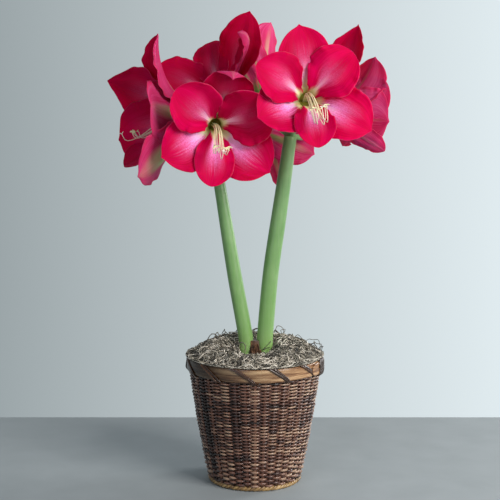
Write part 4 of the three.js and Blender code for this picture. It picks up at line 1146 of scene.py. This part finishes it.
# %% Velvety tepal
def tepal_material():
    """Streaks along the veins, a ray and a blush by place on the blade, and a paler back, with painted
    shade where a mark darkens the crimson and a painted highlight along the margin.
    """
    material, tree, shader = new_material(
        "velvety_tepal", Roughness=0.6, Specular_IOR_Level=0.04, Subsurface_Weight=0.35,
        Subsurface_Radius=(1.0, 0.1, 0.34), Subsurface_Scale=3 * MM)
    uv = add(tree, "TexCoord").outputs["UV"]
    place = add(tree, "SeparateXYZ", {"Vector": uv})
    u, v = place.outputs["X"], place.outputs["Y"]
    doubled = add(tree, "Math", {0: u, 1: 2.0, 2: -1.0}, operation="MULTIPLY_ADD")
    t = add(tree, "Math", {0: doubled}, operation="ABSOLUTE")
    inner = add(tree, "Attribute", attribute_name="inner").outputs["Fac"]
    blush = add(tree, "Attribute", attribute_name="blush").outputs["Fac"]
    deep = add(tree, "Attribute", attribute_name="deep").outputs["Fac"]
    tone = add(tree, "Attribute", attribute_name="tone").outputs["Fac"]

    wander = add(tree, "TexNoise", {"Vector": uv, "Scale": 4.0, "Detail": 1.0})
    strayed = add(tree, "Math", {0: wander, 1: 0.05, 2: u}, operation="MULTIPLY_ADD")
    vein_place = add(tree, "CombineXYZ", {"X": strayed, "Y": v, "Z": tone})
    vein_scale = add(tree, "Mapping", {"Vector": vein_place, "Scale": (50, 1.6, 40)})
    veins = add(tree, "TexNoise", {"Vector": vein_scale, "Scale": 1.0, "Detail": 3.0, "Roughness": 0.6})
    cloud_scale = add(tree, "Mapping", {"Vector": vein_place, "Scale": (4, 2.2, 17)})
    clouds = add(tree, "TexNoise", {"Vector": cloud_scale, "Scale": 1.0, "Detail": 2.0})
    both = add(tree, "Math", {0: veins, 1: clouds}, operation="ADD")
    pick = add(tree, "MapRange", {0: both, 1: 0.5, 2: 1.5})
    face = add(tree, "ValToRGB", {"Fac": pick}, stops=[
        (0.0, "#a4002e"), (0.35, "#c60042"), (0.65, "#d60050"), (1.0, "#e20a62"),
    ])
    # Painted shade: the mark darkens the crimson towards #8c0020 where a tepal lies in shade.
    crimson = add(tree, "Mix", {0: deep, 6: face.outputs["Color"], 7: "#8c0020"}, data_type="RGBA")

    object_place = add(tree, "TexCoord").outputs["Object"]
    dots = add(tree, "TexNoise", {"Vector": object_place, "Scale": 1 / (1.6 * MM), "Detail": 2.0})
    cone = add(tree, "Math", {0: v, 1: 0.7, 2: 0.1}, operation="MULTIPLY_ADD")
    beside = add(tree, "Math", {0: t, 1: cone}, operation="DIVIDE")
    frayed = add(tree, "Math", {0: veins, 1: -1.1, 2: beside}, operation="MULTIPLY_ADD")
    blush_up = add(tree, "MapRange", {0: v, 1: 0.1, 2: 0.22}, interpolation_type="SMOOTHSTEP")
    blush_end = add(tree, "Math", {0: veins, 1: 0.5, 2: v}, operation="MULTIPLY_ADD")
    blush_down = add(tree, "MapRange", {0: blush_end, 1: 1.12, 2: 0.5}, interpolation_type="SMOOTHSTEP")
    blush_in = add(tree, "MapRange", {0: frayed, 1: 0.6, 2: -0.35}, interpolation_type="SMOOTHSTEP")
    patch = add(tree, "Math", {0: blush_up, 1: blush_down}, operation="MULTIPLY")
    patch = add(tree, "Math", {0: patch, 1: blush_in}, operation="MULTIPLY")
    patch = add(tree, "Math", {0: patch, 1: blush}, operation="MULTIPLY")
    dotted = add(tree, "MapRange", {0: dots, 1: 0.3, 2: 0.6, 3: 0.6, 4: 1.2})
    patch = add(tree, "Math", {0: patch, 1: dotted}, operation="MULTIPLY", use_clamp=True)
    blushed = add(tree, "Mix", {0: patch, 6: crimson.outputs[2], 7: "#ff9fe8"}, data_type="RGBA")

    ray_up = add(tree, "MapRange", {0: v, 1: 0.1, 2: 0.18}, interpolation_type="SMOOTHSTEP")
    ray_down = add(tree, "MapRange", {0: v, 1: 0.62, 2: 0.2}, interpolation_type="SMOOTHSTEP")
    ray_edge = add(tree, "Math", {0: veins, 1: -0.5, 2: t}, operation="MULTIPLY_ADD")
    ray_in = add(tree, "MapRange", {0: ray_edge, 1: -0.02, 2: -0.24}, interpolation_type="SMOOTHSTEP")
    ray = add(tree, "Math", {0: ray_up, 1: ray_down}, operation="MULTIPLY")
    ray = add(tree, "Math", {0: ray, 1: ray_in}, operation="MULTIPLY")
    ray = add(tree, "Math", {0: ray, 1: 0.9}, operation="MULTIPLY")
    rayed = add(tree, "Mix", {0: ray, 6: blushed.outputs[2], 7: "#fbd0e6"}, data_type="RGBA")
    star = add(tree, "Math", {0: t, 1: 0.22, 2: v}, operation="MULTIPLY_ADD")
    star = add(tree, "Math", {0: veins, 1: -0.16, 2: star}, operation="MULTIPLY_ADD")
    throat = add(tree, "MapRange", {0: star, 1: 0.26, 2: 0.12}, interpolation_type="SMOOTHSTEP")
    # The throat's own yellow-green; the darkest olive at the bottom of the tube is partly its deep green
    # and partly painted shade of the deep tube.
    green = add(tree, "ValToRGB", {"Fac": v}, stops=[
        (0.0, "#54521c"), (0.03, "#77752c"), (0.06, "#b9b566"), (0.14, "#dcd8a0"), (0.26, "#ece6c4"),
    ])
    front = add(tree, "Mix", {0: throat, 6: rayed.outputs[2], 7: green.outputs["Color"]}, data_type="RGBA")

    pale = add(tree, "ValToRGB", {"Fac": pick}, stops=[
        (0.0, "#ac1048"), (0.4, "#c83068"), (0.7, "#d65086"), (1.0, "#e07ca4"),
    ])
    # Painted shade on the back as well, three quarters as strong, towards #9a0c3c.
    back_painted_shade = add(tree, "Math", {0: deep, 1: 0.75}, operation="MULTIPLY")
    back = add(tree, "Mix", {0: back_painted_shade, 6: pale.outputs["Color"], 7: "#9a0c3c"}, data_type="RGBA")
    broad = add(tree, "Attribute", attribute_name="stripe").outputs["Fac"]
    from_keel = add(tree, "Math", {0: t, 1: broad}, operation="DIVIDE")
    stripe_in = add(tree, "MapRange", {0: from_keel, 1: 0.26, 2: 0.06}, interpolation_type="SMOOTHSTEP")
    stripe_down = add(tree, "MapRange", {0: v, 1: 0.9, 2: 0.4, 3: 0.1, 4: 0.9})
    stripe = add(tree, "Math", {0: stripe_in, 1: stripe_down}, operation="MULTIPLY")
    stripe = add(tree, "Math", {0: stripe, 1: broad}, operation="MULTIPLY", use_clamp=True)
    base_green = add(tree, "MapRange", {0: v, 1: 0.26, 2: 0.04}, interpolation_type="SMOOTHSTEP")
    stripe = add(tree, "Math", {0: stripe, 1: base_green}, operation="MAXIMUM")
    keel = add(tree, "ValToRGB", {"Fac": v}, stops=[(0.0, "#768a48"), (0.3, "#939a60"), (0.8, "#b3ae84")])
    striped = add(tree, "Mix", {0: stripe, 6: back.outputs[2], 7: keel.outputs["Color"]}, data_type="RGBA")
    margin = add(tree, "MapRange", {0: t, 1: 0.8, 2: 0.97}, interpolation_type="SMOOTHSTEP")
    margin = add(tree, "Math", {0: margin, 1: 0.6}, operation="MULTIPLY")
    edged = add(tree, "Mix", {0: margin, 6: striped.outputs[2], 7: "#c81a50"}, data_type="RGBA")
    skin = add(tree, "Mix", {0: inner, 6: edged.outputs[2], 7: front.outputs[2]}, data_type="RGBA")
    # Painted highlight: a thin pale pink line along every margin, like the bright rim of a thin edge
    # against the light.
    margin_highlight = add(tree, "MapRange", {0: t, 1: 0.97, 2: 1.0, 3: 0.0, 4: 0.12})
    margin_highlighted = add(tree, "Mix", {0: margin_highlight, 6: skin.outputs[2], 7: "#f2a3bd"}, data_type="RGBA")
    tree.links.new(margin_highlighted.outputs[2], shader.inputs["Base Color"])
    bump = add(tree, "Bump", {"Height": veins, "Strength": 0.2, "Distance": 0.4 * MM})
    tree.links.new(bump.outputs["Normal"], shader.inputs["Normal"])
    return material


tepal_skin = tepal_material()
for piece, bloom in zip(bloom_pieces, BLOOMS):
    keep(piece, "tepal", tepal_skin, "bloom_" + bloom["name"])

# %% [markdown]
# ## Stamens and style
#
# Six pale filaments come out of the throat, sink towards the lower tepals and turn up again at
# their ends. Each carries an anther, a small crescent balanced across its tip. The style is
# longer and ends in a stigma of three short arms. The paths are the solids' own.

# %% Stamens
FILAMENTS = 6
FILAMENT_STEPS = 28
FILAMENT_SIDES = 8
FILAMENT_REACH = 64
STYLE_REACH = 84
ANTHER_STEPS = 13
ANTHER_SIDES = 10
ANTHER_HALF_LENGTH = 3.4
ANTHER_HALF_WIDTH = 0.95
ANTHER_BOW = 1.9
STIGMA_ARM = 3.2
STIGMA_STEPS = 8
TUBE_FRONT = -10.0


def scatter(k):
    """Repeatable number from 0 to 1 for whole number k: the fraction of a large sine."""
    wide = math.sin(k * 12.9898 + 4.1) * 43758.5453
    return wide - math.floor(wide)


def strand_path(bloom, slot, far, low, end):
    """Five knots along the bloom's axis, falling to its sag angle and fanned out beside it."""
    axis, e1, e2 = bloom["axes"]
    sag = math.radians(bloom.get("sag", 270))
    reach, dip = bloom.get("reach", 1), bloom.get("dip", 1)
    down = math.cos(sag) * e1 + math.sin(sag) * e2
    beside = -math.sin(sag) * e1 + math.cos(sag) * e2
    fan = (slot - FILAMENTS / 2) * 2.6
    stagger = 1.1 if slot % 2 == 0 else -1.1
    places = np.array([
        (TUBE_FRONT - 6, stagger, 0.4 * fan), (0.3 * far * reach, stagger + 1, 0.5 * fan),
        (0.72 * far * reach, 0.8 * low * dip, 0.8 * fan), (0.93 * far * reach, low * dip, fan),
        (far * reach, end * dip, 1.2 * fan),
    ])
    return bloom["throat"] + places @ np.stack([axis, down, beside]), beside


def stamen_piece(bloom, seed):
    """Filaments with crescent anthers, and the style with its three arms, with a part mark."""
    parts, part_marks = [], []
    for k in range(FILAMENTS + 1):
        slot = k if k < FILAMENTS / 2 else k + 1
        far = FILAMENT_REACH + 9 * scatter(k + seed)
        low, end = 19 + 3 * scatter(k + 40), 12 + 3 * scatter(k + 80)
        if k == FILAMENTS:
            slot, far, low, end = FILAMENTS // 2, STYLE_REACH, 24, 15
        knots, beside = strand_path(bloom, slot, far, low, end)
        path = smooth_path(knots, FILAMENT_STEPS)
        share = np.linspace(0, 1, FILAMENT_STEPS)
        thick = np.interp(share, (0, 0.5, 0.97, 1), (0.85, 0.68, 0.5, 0.38))
        parts.append(sweep(path[None], beside, thick[None], thick[None], FILAMENT_SIDES))
        part_marks.append(np.repeat(0.4 * share, FILAMENT_SIDES))
        ahead = unit(path[-1] - path[-3])
        rise = unit(np.cross(beside, ahead))
        if k < FILAMENTS:
            tilt = 2.4 * (scatter(k + seed + 7) - 0.5)
            lie = unit(math.cos(tilt) * beside + math.sin(tilt) * ahead)
            bow = np.linspace(-1, 1, ANTHER_STEPS)[:, None]
            crescent = path[-1] + ANTHER_HALF_LENGTH * bow * lie + 0.4 * ahead
            crescent = crescent + ANTHER_BOW * (bow ** 2 - 0.1) * rise
            fat = ANTHER_HALF_WIDTH * np.sqrt(np.clip(1 - np.abs(bow[:, 0]) ** 3, 0.03, 1))
            parts.append(sweep(crescent[None], rise, fat[None], 0.8 * fat[None], ANTHER_SIDES))
            part_marks.append(np.full(ANTHER_STEPS * ANTHER_SIDES, 1.0))
        else:
            for arm in range(3):
                turn = 2 * math.pi * arm / 3 + 0.5
                out = math.cos(turn) * beside + math.sin(turn) * rise
                reach = np.linspace(0, 1, STIGMA_STEPS)[:, None]
                lobe = path[-1] - 0.5 * ahead + STIGMA_ARM * reach ** 1.4 * out + 2.2 * reach * ahead
                slim = 0.6 * np.sqrt(1 - 0.8 * reach[:, 0] ** 3)
                parts.append(sweep(lobe[None], beside + 0.3 * rise, slim[None], slim[None], FILAMENT_SIDES))
                part_marks.append(np.full(STIGMA_STEPS * FILAMENT_SIDES, 0.7))
    points, faces = gather(parts)
    name = "stamens_" + bloom["name"] + "_fine"
    return build(name, points, faces, marks={"part": np.concatenate(part_marks)})


# %% [markdown]
# Filaments are translucent, greenish white at the foot and pink-white above. The anthers are
# dusted with cream pollen, which looks rough and a little grainy, about 0.5 mm.

# %% Filament and pollen
def stamen_material():
    """Colour by the part mark: filament 0 to 0.4, stigma 0.7, anther 1; grain from a noise."""
    material, tree, shader = new_material(
        "filament_and_pollen", Roughness=0.6, Subsurface_Weight=0.15, Subsurface_Radius=(1.0, 0.8, 0.6),
        Subsurface_Scale=1.5 * MM)
    part = add(tree, "Attribute", attribute_name="part").outputs["Fac"]
    place = add(tree, "TexCoord").outputs["Object"]
    grain = add(tree, "TexNoise", {"Vector": place, "Scale": 1 / (0.5 * MM), "Detail": 2.0})
    shift = add(tree, "Math", {0: grain, 1: 0.5}, operation="SUBTRACT")
    pick = add(tree, "Math", {0: shift, 1: 0.12, 2: part}, operation="MULTIPLY_ADD")
    colour = add(tree, "ValToRGB", {"Fac": pick}, stops=[
        (0.0, "#c5cf94"), (0.2, "#e6dfb4"), (0.4, "#f2d9cd"), (0.7, "#f7efe2"), (0.85, "#d9cf8e"),
        (1.0, "#e9e3b4"),
    ])
    tree.links.new(colour.outputs["Color"], shader.inputs["Base Color"])
    bump = add(tree, "Bump", {"Height": grain, "Strength": 0.4, "Distance": 0.2 * MM})
    tree.links.new(bump.outputs["Normal"], shader.inputs["Normal"])
    return material


pollen = stamen_material()
for k, bloom in enumerate(BLOOMS):
    keep(stamen_piece(bloom, 100 * k), "stamen", pollen, "stamens_" + bloom["name"])

# %% [markdown]
# ## What the solids already show well
#
# The bulb, the nursery pot, the potting mix and the basket's floor keep their solid shapes, for
# little of them is ever seen. They get materials of their own: dry skin on the bulb, matt
# moulded polypropylene with fine turned rings on the pot, dark crumbly mix, and a floor woven
# in rings, which is a pattern of the distance from the axis and of the angle round it, painted
# dark in the weave's hollows and light on its crossings as painted shade and highlight.

# %% Pot, mix and basket floor
def pot_material():
    """Dark matt plastic clouded by a noise 9 mm across, with rings 3 mm apart in its bump."""
    material, tree, shader = new_material("moulded_polypropylene", Roughness=0.55)
    place = add(tree, "TexCoord").outputs["Object"]
    height = add(tree, "SeparateXYZ", {"Vector": place}).outputs["Z"]
    wave = add(tree, "Math", {0: height, 1: 2 * math.pi / (3 * MM)}, operation="MULTIPLY")
    rings = add(tree, "Math", {0: wave}, operation="SINE")
    dust = add(tree, "TexNoise", {"Vector": place, "Scale": 1 / (9 * MM), "Detail": 4.0})
    colour = add(tree, "ValToRGB", {"Fac": dust}, stops=[
        (0.3, "#2b2521"), (0.6, "#3d352f"), (0.8, "#5c5148"),
    ])
    tree.links.new(colour.outputs["Color"], shader.inputs["Base Color"])
    bump = add(tree, "Bump", {"Height": rings, "Strength": 0.2, "Distance": 0.2 * MM})
    tree.links.new(bump.outputs["Normal"], shader.inputs["Normal"])
    return material


def mix_material():
    """Crumbs: Voronoi cells 2.5 mm across, each with its own brown, cracks dark between."""
    material, tree, shader = new_material("peat_and_bark_mix", Roughness=0.95)
    place = add(tree, "TexCoord").outputs["Object"]
    crumbs = add(tree, "TexVoronoi", {"Vector": place, "Scale": 1 / (2.5 * MM)})
    grey = add(tree, "SeparateColor", {"Color": crumbs.outputs["Color"]}).outputs[0]
    colour = add(tree, "ValToRGB", {"Fac": grey}, stops=[
        (0.0, "#1c140e"), (0.6, "#33261b"), (0.95, "#5e4630"),
    ])
    tree.links.new(colour.outputs["Color"], shader.inputs["Base Color"])
    bump = add(tree, "Bump", {"Height": crumbs.outputs["Distance"], "Strength": 0.8, "Distance": 0.8 * MM})
    tree.links.new(bump.outputs["Normal"], shader.inputs["Normal"])
    return material


def base_material():
    """Weave in rings: sine of the radius times sine of 20 times the angle, the bump's height, which also
    picks the colour: painted shade in the hollows, painted highlight on the crossings.
    """
    material, tree, shader = new_material("woven_cane_floor", Roughness=0.45, Coat_Weight=0.2)
    place = add(tree, "TexCoord").outputs["Object"]
    split = add(tree, "SeparateXYZ", {"Vector": place})
    x, y = split.outputs["X"], split.outputs["Y"]
    far = add(tree, "VectorMath", {0: place}, operation="LENGTH").outputs["Value"]
    pace = add(tree, "Math", {0: far, 1: 2 * math.pi / (5 * MM)}, operation="MULTIPLY")
    rings = add(tree, "Math", {0: pace}, operation="SINE")
    angle = add(tree, "Math", {0: y, 1: x}, operation="ARCTAN2")
    spokes = add(tree, "Math", {0: angle, 1: 20.0}, operation="MULTIPLY")
    spokes = add(tree, "Math", {0: spokes}, operation="SINE")
    weave = add(tree, "Math", {0: rings, 1: spokes}, operation="MULTIPLY")
    share = add(tree, "MapRange", {0: weave, 1: -1.0, 2: 1.0})
    # Painted shade and highlight: dark brown where the weave is low, pale where it is high.
    colour = add(tree, "ValToRGB", {"Fac": share}, stops=[
        (0.0, "#2f1d12"), (0.5, "#6b4a2e"), (1.0, "#94704a"),
    ])
    tree.links.new(colour.outputs["Color"], shader.inputs["Base Color"])
    bump = add(tree, "Bump", {"Height": weave, "Strength": 0.7, "Distance": 1.0 * MM})
    tree.links.new(bump.outputs["Normal"], shader.inputs["Normal"])
    return material


carried = {
    "bulb": bulb_skin, "grow_pot": pot_material(), "potting_mix": mix_material(),
    "basket_base": base_material(),
}
for name, material in carried.items():
    nodes[name].data.materials.clear()
    nodes[name].data.materials.append(material)
print("solids shown as they are:", sorted(carried))

# %% [markdown]
# ## Floor, light and camera
#
# The basket stands on a plain pale floor that ends 305 mm behind the middle of the basket, so
# that the floor's edge is the picture's horizon. The sky above it is a soft grey, brighter at
# the back and towards the right. A large lamp from the upper right does what a window would, a
# weak one on the left opens the shadows, and a small one behind on the right puts glints on the
# wicker's edge. The camera looks slightly down, from a metre and a half away, with an 85 mm lens.

# %% Floor
def floor_material():
    """Pale matt surface with a cloudiness 60 mm across, just enough not to look drawn."""
    material, tree, shader = new_material("pale_matt_floor", Roughness=0.7)
    place = add(tree, "TexCoord").outputs["Object"]
    cloud = add(tree, "TexNoise", {"Vector": place, "Scale": 1 / (60 * MM), "Detail": 4.0})
    colour = add(tree, "ValToRGB", {"Fac": cloud}, stops=[(0.2, "#939b9e"), (0.8, "#9ea6a9")])
    tree.links.new(colour.outputs["Color"], shader.inputs["Base Color"])
    return material


FLOOR_SIDE = 6000.0
FAR_EDGE = 305.0
half_side = FLOOR_SIDE / 2
front_edge = FAR_EDGE - FLOOR_SIDE
corners = np.array([
    (-half_side, front_edge, 0), (half_side, front_edge, 0),
    (half_side, FAR_EDGE, 0), (-half_side, FAR_EDGE, 0),
])
floor = build("floor", corners, [np.array([[0, 1, 2, 3]])], smooth=False)
floor.data.materials.append(floor_material())

# %% Light
def lamp(name, place, target, size, power, colour):
    """Square area lamp at place, turned to shine at target, all in mm; power in watts."""
    data = bpy.data.lights.new(name, "AREA")
    data.size = size * MM
    data.energy = power
    data.color = linear(colour)[:3]
    piece = bpy.data.objects.new(name, data)
    start = mathutils.Vector(place) * MM
    piece.location = start
    piece.rotation_euler = (mathutils.Vector(target) * MM - start).to_track_quat("-Z", "Y").to_euler()
    bpy.context.scene.collection.objects.link(piece)
    return piece


lamp("window", (1600, -1650, 1300), (0, 0, 380), 1300, 70, "#fffaf6")
lamp("left_fill", (-900, -1700, 900), (0, 0, 350), 1200, 9, "#f2f6ff")
lamp("right_edge", (1500, 700, 700), (0, 0, 250), 500, 14, "#ffffff")

world = bpy.data.worlds.new("soft_room")
bpy.context.scene.world = world
world.use_nodes = True
room = world.node_tree
room.nodes.clear()
sky_way = add(room, "TexCoord").outputs["Generated"]
split = add(room, "SeparateXYZ", {"Vector": sky_way})
behind = add(room, "MapRange", {0: split.outputs["Y"], 1: -0.2, 2: 0.9}, interpolation_type="SMOOTHSTEP")
to_right = add(room, "MapRange", {0: split.outputs["X"], 1: -0.22, 2: 0.24})
backdrop = add(room, "ValToRGB", {"Fac": to_right}, stops=[
    (0.0, "#99a3a6"), (0.5, "#c2cccf"), (1.0, "#e5f0f4"),
])
sky = add(room, "Mix", {0: behind, 6: "#5e6468", 7: backdrop.outputs["Color"]}, data_type="RGBA")
shine = add(room, "Background", {"Color": sky.outputs[2], "Strength": 1.0})
add(room, "OutputWorld", {"Surface": shine})

# %% Camera
CAMERA_PLACE = (-6.3, -1536.0, 499.0)
CAMERA_PITCH_DEG = -7.1
camera_data = bpy.data.cameras.new("camera")
camera_data.lens = 85
camera_data.sensor_width = 36
camera_data.clip_start = 0.05
camera = bpy.data.objects.new("camera", camera_data)
camera.location = [value * MM for value in CAMERA_PLACE]
camera.rotation_euler = (math.radians(90 + CAMERA_PITCH_DEG), 0, 0)
bpy.context.scene.collection.objects.link(camera)
bpy.context.scene.camera = camera
bpy.context.scene.view_settings.view_transform = "Standard"
